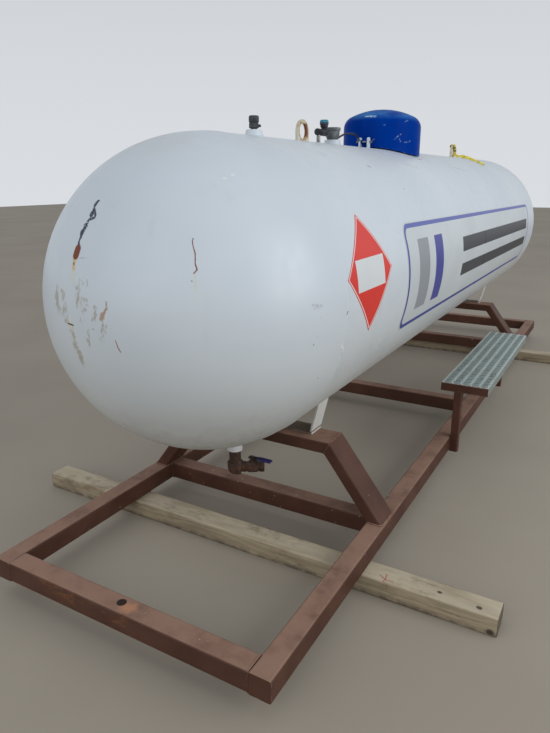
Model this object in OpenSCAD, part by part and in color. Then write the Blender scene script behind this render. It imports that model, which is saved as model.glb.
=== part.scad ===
// Horizontal pressure tank on a welded tube skid, in millimetres.
// +X runs along the tank from its near end to its far end, +Z is up, and the side step is on the -Y side.

/* [Part to show] */
// Name of one piece, or all

/* [Tank] */
// Outer diameter of the shell and its ends
tank_diameter = 1041; // [800:1:1400]
// Length of the straight shell between the two girth seams
shell_length = 3780; // [2000:10:6000]
// Shell and head plate thickness
tank_wall = 6.5; // [4:0.5:14]
// Distance from the middle of the skid to the middle of the shell
tank_shift = 13.5; // [-60:0.5:60]
// Gap from the trestle tops up to the underside of the tank
tank_clear = 76; // [30:1:150]

/* [Skid] */
// Length of the two runners
skid_length = 4849; // [3000:1:7000]
// Width over both runners
skid_width = 1132; // [900:1:1500]
// Width of the skid tube, seen from above
tube_width = 76; // [50:1:120]
// Height of the skid tube
tube_height = 76; // [40:1:100]
// Wall of the skid tube
tube_wall = 5; // [3:0.5:8]
// Outer corner radius of the skid tube
tube_corner = 9; // [6:0.5:14]
// Distance along the tank between the trestle centres
trestle_spacing = 3026; // [1800:1:4000]
// Height of the trestle tops above the runners
trestle_height = 296; // [200:1:450]
// Width of a trestle at its top, outside the knees
trestle_top_width = 660; // [500:1:800]
// Width of the trestle tube, along the tank
trestle_width = 127; // [76:1:180]
// Thickness of the trestle tube
trestle_depth = 51; // [40:1:80]
// Distance from the foot of a leg in from the outer face of the runner
leg_inset = 10; // [2:1:40]
// How far the cross tubes under the trestles stand toward the far end of them
cross_tube_shift = 14; // [-60:1:60]

/* [Tank legs] */
// Width along the tank of the bent leg plates
leg_plate_width = 90; // [60:1:120]
// How far the bent plates stand toward the far end of their trestles
leg_plate_shift = 24; // [-60:1:60]
// Thickness of the leg plates
leg_plate = 6; // [5:0.5:14]
// Width across the flat foot of a leg plate
leg_foot_width = 458; // [350:1:600]
// Lean of a leg strap, in degrees from upright
leg_lean = 14; // [0:1:25]

/* [Timbers] */
// Length of each timber
timber_length = 2060; // [1300:10:2600]
// Width of each timber
timber_width = 100; // [70:1:150]
// Thickness of each timber
timber_height = 72; // [60:1:150]
// Distance from the near trestle out to the near timber
timber_near_lead = 226; // [-300:1:700]
// Distance from the far trestle in to the far timber
timber_far_lag = -80; // [-300:1:700]

/* [Side step] */
// Length of the step plank
step_length = 1200; // [600:10:1800]
// Width of the step plank
step_width = 229; // [150:1:300]
// Depth of the folded edges of the plank
step_depth = 40; // [25:1:60]
// Sheet thickness of the plank
step_sheet = 3; // [2:0.5:5]
// Height of the walking face above the runner
step_height = 286; // [150:1:400]
// Distance from the outer face of the runner in to the inner edge of the plank
step_inset = 66; // [0:1:120]
// Thickness of the end plates of the step
step_end_plate = 6; // [4:0.5:12]
// Openings along each row of the plank
step_openings = 23; // [8:1:40]
// Rows of openings across the plank
step_rows = 5; // [2:1:7]
// Spacing of the openings along the plank
opening_pitch = 50; // [30:1:80]
// Length of an opening, across the plank
opening_length = 28; // [10:1:40]
// Width of an opening, along the plank
opening_width = 16; // [6:1:25]
// Width of the raised ribs between the rows
rib_width = 9; // [4:0.5:14]
// Height of the raised ribs
rib_height = 4; // [1:0.5:8]
// Side of the square posts under the step
post_size = 40; // [25:1:60]
// Wall of the posts
post_wall = 4; // [2:0.5:8]
// Outer corner radius of the posts
post_corner = 6; // [5:0.5:10]

/* [Lifting lugs] */
// Distance from the shell middle to each lifting lug
lug_x = 1196; // [600:1:1700]
// Width of a lug, and the outer diameter of its round top
lug_width = 98; // [90:1:140]
// Height of the middle of the round top above the crown of the tank
lug_rise = 36; // [30:1:60]
// Diameter of a lug hole
lug_bore = 62; // [30:1:66]
// Height of the middle of the hole above the crown of the tank
lug_bore_rise = 40; // [36:1:60]
// Thickness of a lug plate
lug_plate = 12; // [8:1:30]
// Width of the marking tape
tape_width = 22; // [10:1:40]
// Thickness of the knot in the marking tape
tape_knot = 16; // [10:1:24]
// Thickness of the marking tape with its folds
tape_thickness = 1.6; // [1:0.1:3]
// Distance that the tape's tail reaches out from the tank line
tape_reach = 245; // [80:5:400]
// Distance that the tail drifts back toward the near end
tape_drift = 70; // [-100:5:100]

/* [Relief valves] */
// Distance from the shell middle to the near relief coupling
relief_x = 1569; // [1300:1:1750]
// Diameter of the near relief coupling at its top
relief_pad_top = 56; // [50:1:90]
// Width of the weld slope round the near relief coupling
relief_pad_slope = 6; // [2:1:20]
// Height of the near relief coupling above the crown
relief_pad_rise = 23; // [10:1:50]
// Diameter of the near relief device
relief_diameter = 38; // [26:1:48]
// Height of the near relief device
relief_height = 47; // [40:1:90]
// Distance from the shell middle to the bowl-shaped relief valve
bowl_x = 901; // [800:1:930]
// Outer diameter of the bowl
bowl_diameter = 70; // [50:1:74]
// Height of the bowl
bowl_height = 52; // [40:1:90]
// Wall of the bowl
bowl_wall = 4; // [2:0.5:8]
// Outer diameter of the bowl coupling
bowl_coupling = 72; // [60:1:100]
// Height of the bowl coupling above the crown
bowl_coupling_rise = 20; // [10:1:50]
// Diameter of the hose outlet on the bowl
hose_port = 14; // [10:1:20]
// Distance from the middle of the bowl to the mouth of its hose outlet
hose_port_reach = 37; // [35:0.5:60]
// Height of the hose outlet over the bowl coupling
hose_port_rise = 10; // [8:0.5:20]

/* [Capped valve] */
// Distance from the shell middle to the pipe stub
stub_x = 1045; // [1030:1:1090]
// Diameter of the pipe stub
stub_diameter = 16; // [8:1:20]
// Height of the pipe stub above the crown
stub_rise = 32; // [20:1:60]
// Diameter of the level valve body
capped_body = 28; // [20:1:40]
// Distance from the pipe stub to the capped neck
capped_reach = 55; // [40:1:80]
// Height of the neck over the middle of the body
neck_rise = 32; // [18:1:50]
// Diameter of the teal cap
cap_diameter = 38; // [28:1:60]
// Height of the teal cap
cap_height = 20; // [8:1:30]

/* [Valve hood] */
// Distance from the shell middle to the hood centre
hood_x = 281; // [100:1:500]
// Outer diameter of the hood
hood_diameter = 402; // [300:1:500]
// Height of the hood wall above the crown of the tank
hood_wall_rise = 104; // [40:1:140]
// Sheet thickness of the hood
hood_sheet = 4; // [2:0.5:6]
// Knuckle radius between wall and crown
hood_knuckle = 60; // [30:1:90]
// Radius of the hood crown
hood_crown = 380; // [250:1:500]
// Gap between the rim and the tank
rim_gap = 6; // [5:0.5:12]
// Distance from the hood wall to the hinge pin
pin_offset = 40; // [30:1:60]
// Height of the hinge pin above the crown
pin_rise = 30; // [25:1:38]
// Diameter of the hinge pin
pin_diameter = 8; // [6:1:10]
// How far the pin stands out of each hinge lug
pin_stand_out = 12; // [4:1:20]
// Radial clearance of the pin in the hood ears
pin_clearance = 0.05; // [0.02:0.01:0.1]
// Height of the hood ears, round at the pin
ear_diameter = 18; // [14:1:22]
// Width over both hood ears
ear_width = 34; // [24:1:60]
// Thickness of each hood ear
ear_plate = 6; // [4:1:10]
// Side gap between a hood ear and its hinge lug
ear_gap = 1; // [0.5:0.1:2]
// Thickness of each hinge lug
hinge_lug = 8; // [5:1:12]
// Width of a hinge lug along the tank
hinge_lug_width = 24; // [20:1:32]
// Height of the hinge lugs above the crown
hinge_lug_height = 50; // [46:1:60]

/* [Fittings under the hood] */
// Diameter of the ring of fittings under the hood
fitting_circle = 180; // [120:1:200]
// Outer diameter of the fill valve
fill_diameter = 60; // [40:1:70]
// Height of the fill valve above the crown
fill_rise = 72; // [40:1:90]
// Outer diameter of the service valve body
service_diameter = 46; // [30:1:60]
// Height of the service valve body above the crown
service_rise = 64; // [40:1:90]
// Diameter of the level gauge flange
gauge_diameter = 78; // [50:1:90]
// Height of the level gauge above the crown
gauge_rise = 34; // [20:1:60]

/* [Bottom outlet] */
// Distance from the shell middle to the outlet
outlet_x = 1745; // [1600:1:1850]
// Outer diameter of the outlet coupling
outlet_coupling_diameter = 60; // [52:1:80]
// Length of the outlet coupling below the tank
outlet_coupling_drop = 110; // [60:1:150]
// Outer diameter of the nipple
nipple_diameter = 46; // [36:1:50]
// Bore of the outlet pipework
outlet_bore = 26; // [16:1:30]
// Length of the nipple below the coupling
nipple_drop = 52; // [20:1:80]
// Diameter of the round elbow
elbow_diameter = 64; // [58:1:90]
// Direction of the outlet valve, in degrees from the tank line toward the step side
outlet_turn = 60; // [0:5:90]
// Diameter of the outlet valve at its middle
outlet_valve_diameter = 46; // [40:1:60]
// Width of the hexagon ends of the outlet valve, over the corners
outlet_hex = 42; // [36:1:52]
// Length of each hexagon end
outlet_hex_length = 20; // [12:1:30]
// Length of the outlet valve body
outlet_valve_length = 92; // [70:1:140]
// Length of the outlet handle
handle_length = 100; // [60:1:160]
// Turn of the lever out of the valve's line, in degrees
handle_turn = 30; // [-60:1:90]
// Height of the outlet handle over the valve body
handle_rise = 18; // [10:1:30]

/* [Hidden] */
$fn = 96;
R = tank_diameter / 2;
skid_low = timber_height;
skid_top = skid_low + tube_height;
trestle_top = skid_top + trestle_height;
axis_z = trestle_top + tank_clear + R;
crown_z = axis_z + R;
trestle_shift = 3;
knee_y = trestle_top_width / 2;
foot_y = skid_width / 2 - leg_inset;
leg_angle = atan((foot_y - knee_y) / trestle_height);
knee_cut = tan((90 - leg_angle) / 2);
foot_cut = 1 / cos(leg_angle);

white = [0.85, 0.86, 0.87];
brown = [0.33, 0.22, 0.19];
blue = [0.02, 0.16, 0.5];

// A long cylinder along X at the tank axis, for the shell and for fitting pieces to it
module tank_cylinder(radius, length) {
    translate([tank_shift - length / 2, 0, axis_z]) rotate([0, 90, 0])
        cylinder(h = length, r = radius);
}

// A rectangle with round corners, centred on the origin
module round_rectangle(width, height, corner) {
    square([width - 2 * corner, height], center = true);
    square([width, height - 2 * corner], center = true);
    for (x = [-1, 1], y = [-1, 1])
        translate([x * (width / 2 - corner), y * (height / 2 - corner)]) circle(r = corner);
}

// Section of a tube of the skid
module tube_section(width, height) {
    difference() {
        round_rectangle(width, height, tube_corner);
        round_rectangle(width - 2 * tube_wall, height - 2 * tube_wall, tube_corner - tube_wall);
    }
}

// A cross tube between the runners, at a distance along the tank
module cross_tube(x) {
    color(brown) translate([x, 0, skid_low + tube_height / 2]) rotate([90, 0, 0])
        linear_extrude(skid_width - 2 * tube_width, center = true)
            tube_section(tube_width, tube_height);
}

// A runner, closed by a plate at each end
module runner(side) {
    y = side * (skid_width - tube_width) / 2;
    color(brown) translate([0, y, skid_low + tube_height / 2]) rotate([90, 0, 90]) {
        linear_extrude(skid_length, center = true) tube_section(tube_width, tube_height);
        for (end = [-1, 1])
            translate([0, 0, end * (skid_length - tube_wall) / 2])
                linear_extrude(tube_wall, center = true)
                    round_rectangle(tube_width, tube_height, tube_corner);
    }
}

// Outline of a trestle's top tube in the YZ plane, between two depths below its top
module top_outline(d0, d1) {
    polygon([[-(knee_y - d0 * knee_cut), trestle_top - d0], [knee_y - d0 * knee_cut, trestle_top - d0],
        [knee_y - d1 * knee_cut, trestle_top - d1], [-(knee_y - d1 * knee_cut), trestle_top - d1]]);
}

// Outline of a trestle's leg in the YZ plane, between two depths from its outer face
module leg_outline(d0, d1) {
    polygon([[knee_y - d0 * knee_cut, trestle_top - d0], [foot_y - d0 * foot_cut, skid_top],
        [foot_y - d1 * foot_cut, skid_top], [knee_y - d1 * knee_cut, trestle_top - d1]]);
}

// Stands an outline in the YZ plane and gives it a width along X, centred at x
module along_x(x, width) {
    translate([x - width / 2, 0, 0]) rotate([90, 0, 90]) linear_extrude(width) children();
}

module trestle_top(x) {
    color(brown) intersection() {
        translate([x, 0, trestle_top - trestle_depth / 2]) rotate([90, 0, 0])
            linear_extrude(3 * knee_y, center = true) tube_section(trestle_width, trestle_depth);
        along_x(x, 2 * trestle_width) top_outline(-tube_wall, trestle_depth + tube_wall);
    }
}

module trestle_leg(x, side) {
    color(brown) mirror([0, side < 0 ? 1 : 0, 0]) intersection() {
        translate([x, knee_y, trestle_top]) rotate([leg_angle, 0, 0])
            translate([0, -trestle_depth / 2, -trestle_height / 2])
                linear_extrude(3 * trestle_height, center = true)
                    tube_section(trestle_width, trestle_depth);
        along_x(x, 2 * trestle_width) leg_outline(-tube_wall, trestle_depth + tube_wall);
    }
}

trestle_near_x = trestle_shift - trestle_spacing / 2;
trestle_far_x = trestle_shift + trestle_spacing / 2;

// A bent plate: a flat foot on the trestle and two straps up to the shell
module leg_plate_at(x) {
    foot = leg_foot_width / 2;
    rise = tank_clear + R;
    spread = foot + rise * tan(leg_lean);
    inner = spread - leg_plate / cos(leg_lean);
    color(white) difference() {
        along_x(x + leg_plate_shift, leg_plate_width) translate([0, trestle_top]) polygon([
            [-foot, 0], [foot, 0], [spread, rise], [inner, rise], [foot - leg_plate, leg_plate],
            [leg_plate - foot, leg_plate], [-inner, rise], [-spread, rise]]);
        tank_cylinder(R, shell_length);
    }
}

module head(end) {
    x = tank_shift + end * shell_length / 2;
    color(white) intersection() {
        translate([x, 0, axis_z]) difference() {
            sphere(r = R);
            sphere(r = R - tank_wall);
        }
        translate([x + (end < 0 ? -2 * R : 0), -R, axis_z - R]) cube(2 * R);
    }
}

module tank_shell() {
    color(white) difference() {
        tank_cylinder(R, shell_length);
        tank_cylinder(R - tank_wall, shell_length + 2);
    }
}

// Step side is -Y
step_outer_y = -skid_width / 2 - step_width + step_inset;
step_inner_y = step_outer_y + step_width;
step_top = skid_top + step_height;

row = (step_width - 2 * step_sheet) / step_rows;

// The walking face, with its rows of openings
module plank_face() {
    difference() {
        translate([-step_length / 2, step_outer_y]) square([step_length, step_width]);
        for (i = [0:step_openings - 1], j = [0:step_rows - 1])
            translate([(i - (step_openings - 1) / 2) * opening_pitch - opening_width / 2,
                step_outer_y + step_sheet + (j + 0.5) * row - opening_length / 2])
                square([opening_width, opening_length]);
    }
}

module step_plank() {
    color([0.6, 0.64, 0.64]) {
        translate([0, 0, step_top - step_sheet]) linear_extrude(step_sheet) plank_face();
        for (y = [step_outer_y, step_inner_y - step_sheet])
            translate([-step_length / 2, y, step_top - step_depth])
                cube([step_length, step_sheet, step_depth]);
        for (j = [1:step_rows - 1])
            translate([-step_length / 2, step_outer_y + step_sheet + j * row, step_top])
                rotate([90, 0, 90])
                linear_extrude(step_length) polygon([
                    [-rib_width / 2, -step_sheet / 2], [rib_width / 2, -step_sheet / 2],
                    [rib_width / 2, 0], [rib_width / 4, rib_height],
                    [-rib_width / 4, rib_height], [-rib_width / 2, 0]]);
    }
}

module step_end(end) {
    x = end < 0 ? -step_length / 2 - step_end_plate : step_length / 2;
    color(brown) translate([x, step_outer_y, step_top - step_depth])
        cube([step_end_plate, step_width, step_depth]);
}

module step_post(end) {
    x = end < 0 ? -step_length / 2 - step_end_plate : step_length / 2 + step_end_plate - post_size;
    color(brown) translate([x + post_size / 2, -(skid_width + post_size) / 2, skid_low])
        linear_extrude(step_top - step_depth - skid_low) difference() {
            round_rectangle(post_size, post_size, post_corner);
            bore = post_size - 2 * post_wall;
            round_rectangle(bore, bore, post_corner - post_wall);
        }
}

module timber(x) {
    color([0.6, 0.55, 0.42]) translate([x - timber_width / 2, -timber_length / 2, 0])
        cube([timber_width, timber_length, timber_height]);
}

// A plate with an eye that stands on the crown of the shell, in the plane of the tank axis
module lifting_lug(end) {
    color(white) translate([tank_shift + end * lug_x, lug_plate / 2, crown_z]) rotate([90, 0, 0])
        linear_extrude(lug_plate) difference() {
            union() {
                translate([0, lug_rise]) circle(d = lug_width);
                translate([-lug_width / 2, 0]) square([lug_width, lug_rise]);
            }
            translate([0, lug_bore_rise]) circle(d = lug_bore);
            translate([-lug_width, -lug_width]) square([2 * lug_width, lug_width]);
        }
}

// How far the stacked parts of one casting run into each other
merge = 1;

// A round boss on the crown of the shell, cut to sit on it
module crown_boss(x, y, diameter, rise) {
    difference() {
        translate([x, y, axis_z + R / 2]) cylinder(h = R / 2 + rise, d = diameter);
        tank_cylinder(R, shell_length);
    }
}

module relief_coupling() {
    top = relief_pad_top / 2;
    color(white) difference() {
        translate([tank_shift - relief_x, 0, crown_z]) rotate_extrude() polygon([
            [0, -R / 2], [top + relief_pad_slope, -R / 2], [top + relief_pad_slope, 3],
            [top, relief_pad_rise], [0, relief_pad_rise]]);
        tank_cylinder(R, shell_length);
    }
}

// Relief device: a neck, a hexagon block, a groove and a rain cap
module relief_device() {
    r = relief_diameter / 2;
    block = relief_height * 0.11;
    groove = relief_height * 0.45;
    cap = relief_height * 0.53;
    color([0.15, 0.15, 0.16]) translate([tank_shift - relief_x, 0, crown_z + relief_pad_rise]) {
        cylinder(h = block + merge, r = r * 0.66);
        translate([0, 0, block]) cylinder(h = groove - block, r = r * 1.04, $fn = 6);
        rotate_extrude() polygon([
            [0, groove - merge], [r * 0.84, groove - merge], [r * 0.84, cap], [r * 0.96, cap],
            [r * 0.96, relief_height - 3], [r * 0.96 - 3, relief_height], [0, relief_height]]);
    }
}

module bowl_coupling_ring() {
    color(white) crown_boss(tank_shift - bowl_x, 0, bowl_coupling, bowl_coupling_rise);
}

// Bowl-shaped relief valve with a rolled lip, a stem inside it and a hose outlet on its side
module bowl_relief_valve() {
    r = bowl_diameter / 2;
    h = bowl_height;
    base_z = crown_z + bowl_coupling_rise;
    color([0.3, 0.31, 0.32]) {
        translate([tank_shift - bowl_x, 0, base_z]) rotate_extrude() polygon([
            [0, 0], [r * 0.7, 0], [r * 0.74, h * 0.14], [r * 0.86, h * 0.3], [r * 0.9, h * 0.72],
            [r, h * 0.76], [r, h], [r - bowl_wall, h], [r * 0.9 - bowl_wall, h * 0.6],
            [r * 0.5, h * 0.4], [r * 0.2, h * 0.4], [r * 0.2, h * 0.8], [0, h * 0.8]]);
        translate([tank_shift - bowl_x + r * 0.5, 0, base_z + hose_port_rise])
            rotate([0, 90, 0]) cylinder(h = hose_port_reach - r * 0.5, d = hose_port);
    }
}

neck_x = tank_shift - stub_x + capped_reach;
body_z = crown_z + stub_rise + capped_body / 2;

module valve_stub() {
    x = tank_shift - stub_x;
    color([0.2, 0.2, 0.2]) difference() {
        translate([x, 0, axis_z + R / 2])
            cylinder(h = R / 2 + stub_rise + capped_body / 2, d = stub_diameter);
        tank_cylinder(R, shell_length);
        translate([x - capped_body, 0, body_z]) rotate([0, 90, 0])
            cylinder(h = 3 * capped_body, d = capped_body);
    }
}

// Level body on the stub, with a neck and a collar that carry the cap
module capped_valve_body() {
    collar = capped_body * 0.3;
    color([0.05, 0.05, 0.05]) {
        translate([tank_shift - stub_x - capped_body * 0.6, 0, body_z]) rotate([0, 90, 0])
            cylinder(h = capped_reach + capped_body * 1.1, d = capped_body);
        translate([neck_x, 0, body_z]) cylinder(h = neck_rise, d = capped_body * 0.9);
        translate([neck_x, 0, body_z + neck_rise - collar]) cylinder(h = collar, d = capped_body * 1.2);
    }
}

module capped_valve_cap() {
    r = cap_diameter / 2;
    color([0.05, 0.45, 0.6]) translate([neck_x, 0, body_z + neck_rise]) rotate_extrude()
        polygon([[0, 0], [r, 0], [r, cap_height * 0.75], [r - 4, cap_height], [0, cap_height]]);
}

// The hose runs from the bowl's outlet to the hinge lug on the far side.
// Points on its middle line: along the tank, across it, and height above the crown
hose_diameter = 9;
hose_line = [[-850.5, 0, 30], [-838, 0, 30.5], [-818, 2, 34], [-796, 4, 40], [-772, 6, 46],
    [-748, 8, 51], [-722, 10, 55], [-696, 12, 58], [-670, 14, 60], [-644, 16, 61.5], [-618, 17, 62],
    [-594, 18.5, 61], [-572, 20, 58.5], [-556, 21, 55], [-543, 22, 50.5], [-533, 23, 45],
    [-526, 24, 40.5], [-520.5, 24, 37.5]];
hose_path = [for (p = hose_line) [p[0], p[1], crown_z + p[2]]];

function unit(v) = v / norm(v);
function along(path, i) =
    i == 0 || i == len(path) - 1 ? [1, 0, 0] : unit(path[i + 1] - path[i - 1]);

// A tube of straight-sided rings along a path
module sweep(path, diameter, sides) {
    ring = [for (k = [0:sides - 1]) diameter / 2 * [cos(360 * k / sides), sin(360 * k / sides)]];
    points = [for (i = [0:len(path) - 1])
        let (t = along(path, i), s = unit(cross([0, 0, 1], t)), u = cross(t, s))
        for (p = ring) path[i] + p[0] * s + p[1] * u];
    last = (len(path) - 1) * sides;
    walls = [for (i = [0:len(path) - 2], k = [0:sides - 1])
        let (a = i * sides + k, b = i * sides + (k + 1) % sides) [a, b, b + sides, a + sides]];
    near_end = [for (k = [sides - 1:-1:0]) k];
    far_end = [for (k = [0:sides - 1]) last + k];
    polyhedron(points, concat([near_end, far_end], walls));
}

module vent_hose() {
    color([0.03, 0.03, 0.03]) sweep(hose_path, hose_diameter, 8);
}

// Tape knotted against the far lug, with its tail lying down the shell on the step side
module marking_tape() {
    x = tank_shift + lug_x;
    y = lug_plate / 2 + tape_knot / 2;
    knot_z = crown_z + lug_rise + lug_width / 2 - tape_knot;
    edge = tape_width / 2;
    color([0.85, 0.7, 0.1]) {
        difference() {
            union() {
                intersection() {
                    tank_cylinder(R + tape_thickness, shell_length);
                    translate([x, 0, axis_z]) linear_extrude(2 * R) polygon([[-edge, -y], [edge, -y],
                        [edge - tape_drift, -tape_reach], [-edge - tape_drift, -tape_reach]]);
                }
                translate([x - edge, -y - tape_thickness / 2, axis_z + R / 2])
                    cube([tape_width, tape_thickness, knot_z - axis_z - R / 2]);
            }
            tank_cylinder(R, shell_length);
        }
        translate([x, -y, knot_z]) rotate([0, 90, 0])
            cylinder(h = tape_knot * 1.6, d = tape_knot, center = true);
    }
}

hood_cx = tank_shift - hood_x;
pin_x = hood_cx - hood_diameter / 2 - pin_offset;
pin_z = crown_z + pin_rise;

// Half profile of the hood, drawn at a wall depth of inset from its outside
module hood_outline(inset) {
    a = hood_diameter / 2;
    drop = sqrt(pow(hood_crown - hood_knuckle, 2) - pow(a - hood_knuckle, 2));
    tilt = atan2(a - hood_knuckle, drop);
    translate([0, -R]) square([a - inset, R + hood_wall_rise]);
    translate([a - hood_knuckle, hood_wall_rise]) circle(r = hood_knuckle - inset);
    intersection() {
        translate([0, hood_wall_rise - drop]) circle(r = hood_crown - inset);
        translate([0, hood_wall_rise - drop]) polygon([[0, 0], [0, 2 * hood_crown],
            [2 * hood_crown * sin(tilt), 2 * hood_crown * cos(tilt)]]);
    }
    translate([0, hood_wall_rise - 1]) square([a - hood_knuckle, hood_knuckle * 0.9]);
}

// One of the two flat ears that carry the hood on its pin, between two distances from the middle
module hood_ear(y0, y1) {
    difference() {
        union() {
            translate([pin_x, y1, pin_z]) rotate([90, 0, 0]) cylinder(h = y1 - y0, d = ear_diameter);
            translate([pin_x, y0, pin_z - ear_diameter / 2])
                cube([pin_offset + hood_sheet - 1, y1 - y0, ear_diameter]);
        }
        translate([pin_x, y1 + 1, pin_z]) rotate([90, 0, 0])
            cylinder(h = y1 - y0 + 2, r = pin_diameter / 2 + pin_clearance);
    }
}

module valve_hood() {
    color(blue) {
        difference() {
            translate([hood_cx, 0, crown_z]) rotate_extrude() hood_outline(0);
            translate([hood_cx, 0, crown_z]) rotate_extrude() hood_outline(hood_sheet);
            translate([hood_cx, 0, axis_z - R])
                cylinder(h = 2 * R - hood_diameter / 2, r = hood_diameter);
            tank_cylinder(R + rim_gap, shell_length);
        }
        hood_ear(-ear_width / 2, ear_plate - ear_width / 2);
        hood_ear(ear_width / 2 - ear_plate, ear_width / 2);
    }
}

// A flat lug with round upper corners, cut to stand on the shell
module hinge_lug_at(y) {
    below = hinge_lug_width;
    difference() {
        translate([pin_x, y + hinge_lug / 2, crown_z + (hinge_lug_height - below) / 2])
            rotate([90, 0, 0]) linear_extrude(hinge_lug)
                round_rectangle(hinge_lug_width, hinge_lug_height + below, hinge_lug_width / 3);
        translate([pin_x, y + hinge_lug, pin_z]) rotate([90, 0, 0])
            cylinder(h = 2 * hinge_lug, d = pin_diameter);
        tank_cylinder(R, shell_length);
    }
}

lug_y = ear_width / 2 + ear_gap + hinge_lug / 2;

module hood_hinge_lugs() {
    color(white) {
        hinge_lug_at(-lug_y);
        hinge_lug_at(lug_y);
    }
}

module hood_hinge_pin() {
    length = 2 * lug_y + hinge_lug + 2 * pin_stand_out;
    color([0.7, 0.7, 0.7]) translate([pin_x, length / 2, pin_z]) rotate([90, 0, 0])
        cylinder(h = length, d = pin_diameter);
}

// Fill valve: coupling, hexagon, body and ribbed cap
module fill_valve() {
    x = hood_cx + fitting_circle / 2;
    r = fill_diameter / 2;
    h = fill_rise;
    color([0.7, 0.55, 0.25]) {
        crown_boss(x, 0, fill_diameter, h * 0.2);
        translate([x, 0, crown_z + h * 0.2 - merge])
            cylinder(h = h * 0.25 + merge, d = fill_diameter, $fn = 6);
        translate([x, 0, crown_z + h * 0.45]) rotate_extrude() polygon([
            [0, -merge], [r * 0.7, -merge], [r * 0.7, h * 0.15], [r * 0.85, h * 0.18],
            [r * 0.85, h * 0.5], [r * 0.7, h * 0.55], [0, h * 0.55]]);
    }
}

// Service valve: coupling, body, side outlet and hand wheel
module service_valve() {
    r = service_diameter / 2;
    h = service_rise;
    x = hood_cx - fitting_circle / 4;
    y = fitting_circle * 0.43;
    seat = 4;
    wheel = 8;
    color([0.7, 0.55, 0.25]) {
        crown_boss(x, y, service_diameter, seat);
        translate([x, y, crown_z + seat]) {
            rotate_extrude() polygon([
                [0, -merge], [r * 0.8, -merge], [r * 0.8, h * 0.45], [r * 0.35, h * 0.5],
                [r * 0.35, h * 0.72], [0, h * 0.72]]);
            translate([0, 0, h * 0.25]) rotate([0, 90, 0]) cylinder(h = service_diameter, d = r);
            translate([0, 0, h * 0.66]) difference() {
                cylinder(h = wheel, r = r);
                for (i = [0:3])
                    rotate([0, 0, 90 * i]) translate([r * 0.6, 0, -1])
                        cylinder(h = wheel + 2, r = r * 0.2);
            }
        }
    }
}

// Level gauge: coupling, flange and dial housing
module level_gauge() {
    r = gauge_diameter / 2;
    h = gauge_rise;
    x = hood_cx - fitting_circle / 4;
    y = -fitting_circle * 0.43;
    seat = 2;
    flange = 8;
    color([0.6, 0.6, 0.6]) {
        crown_boss(x, y, gauge_diameter * 0.8, seat);
        translate([x, y, crown_z + seat]) rotate_extrude() polygon([
            [0, -merge], [r * 0.7, -merge], [r * 0.7, 0], [r, 0], [r, flange], [r * 0.6, flange],
            [r * 0.6, h - 4], [r * 0.5, h], [r * 0.42, h], [r * 0.4, h - 3], [0, h - 3]]);
    }
}

outlet_cx = tank_shift - outlet_x;
outlet_low = axis_z - R - outlet_coupling_drop;
elbow_z = outlet_low - nipple_drop - elbow_diameter * 0.35;

module outlet_coupling() {
    height = outlet_coupling_drop + R / 2;
    color(white) difference() {
        translate([outlet_cx, 0, outlet_low]) cylinder(h = height, d = outlet_coupling_diameter);
        translate([outlet_cx, 0, outlet_low - 1]) cylinder(h = height + 2, d = outlet_bore);
        tank_cylinder(R, shell_length);
    }
}

module outlet_nipple() {
    color([0.4, 0.28, 0.2]) translate([outlet_cx, 0, outlet_low - nipple_drop]) difference() {
        cylinder(h = nipple_drop, d = nipple_diameter);
        translate([0, 0, -1]) cylinder(h = nipple_drop + 2, d = outlet_bore);
    }
}

module outlet_elbow() {
    color([0.3, 0.25, 0.2]) difference() {
        translate([outlet_cx, 0, elbow_z]) sphere(d = elbow_diameter);
        translate([outlet_cx - elbow_diameter, -elbow_diameter, outlet_low - nipple_drop])
            cube([2 * elbow_diameter, 2 * elbow_diameter, elbow_diameter]);
        translate([outlet_cx, 0, elbow_z]) rotate([0, 0, -outlet_turn])
            translate([elbow_diameter * 0.35, -elbow_diameter, -elbow_diameter])
                cube([elbow_diameter, 2 * elbow_diameter, 2 * elbow_diameter]);
    }
}

// Ball valve: hexagon ends, a round middle and the bore
module outlet_valve() {
    r = outlet_valve_diameter / 2;
    n = outlet_hex_length;
    l = outlet_valve_length;
    middle = l - 2 * n;
    color([0.45, 0.32, 0.2]) translate([outlet_cx, 0, elbow_z]) rotate([0, 0, -outlet_turn])
        translate([elbow_diameter * 0.35, 0, 0]) rotate([0, 90, 0]) difference() {
            union() {
                cylinder(h = n, d = outlet_hex, $fn = 6);
                translate([0, 0, l - n]) cylinder(h = n, d = outlet_hex, $fn = 6);
                translate([0, 0, n]) rotate_extrude() polygon([
                    [0, -merge], [r * 0.75, -merge], [r * 0.75, 0], [r, l * 0.1],
                    [r, middle - l * 0.1], [r * 0.75, middle], [r * 0.75, middle + merge],
                    [0, middle + merge]]);
            }
            translate([0, 0, -1]) cylinder(h = l + 2, d = outlet_bore);
        }
}

// Stem, and a lever that lies along the valve with a dipped grip
module outlet_handle() {
    r = outlet_valve_diameter / 2;
    stem = 14;
    bar = 6;
    grip_start = handle_length * 0.4 - stem;
    color([0.05, 0.1, 0.3]) translate([outlet_cx, 0, elbow_z]) rotate([0, 0, -outlet_turn])
        translate([elbow_diameter * 0.35 + outlet_valve_length / 2, 0, 0]) {
            difference() {
                cylinder(h = r + handle_rise + bar / 2, d = stem);
                translate([-outlet_valve_length, 0, 0]) rotate([0, 90, 0])
                    cylinder(h = 2 * outlet_valve_length, d = outlet_valve_diameter);
            }
            rotate([0, 0, -handle_turn]) {
                translate([-stem, -2 * bar, r + handle_rise - bar])
                    cube([handle_length * 0.4, 4 * bar, bar]);
                translate([grip_start - 2, 0, r + handle_rise - bar / 2]) rotate([0, 90, 0])
                    linear_extrude(handle_length * 0.6)
                        round_rectangle(2 * bar, 4 * bar + 2, bar - 1);
            }
        }
}

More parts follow.
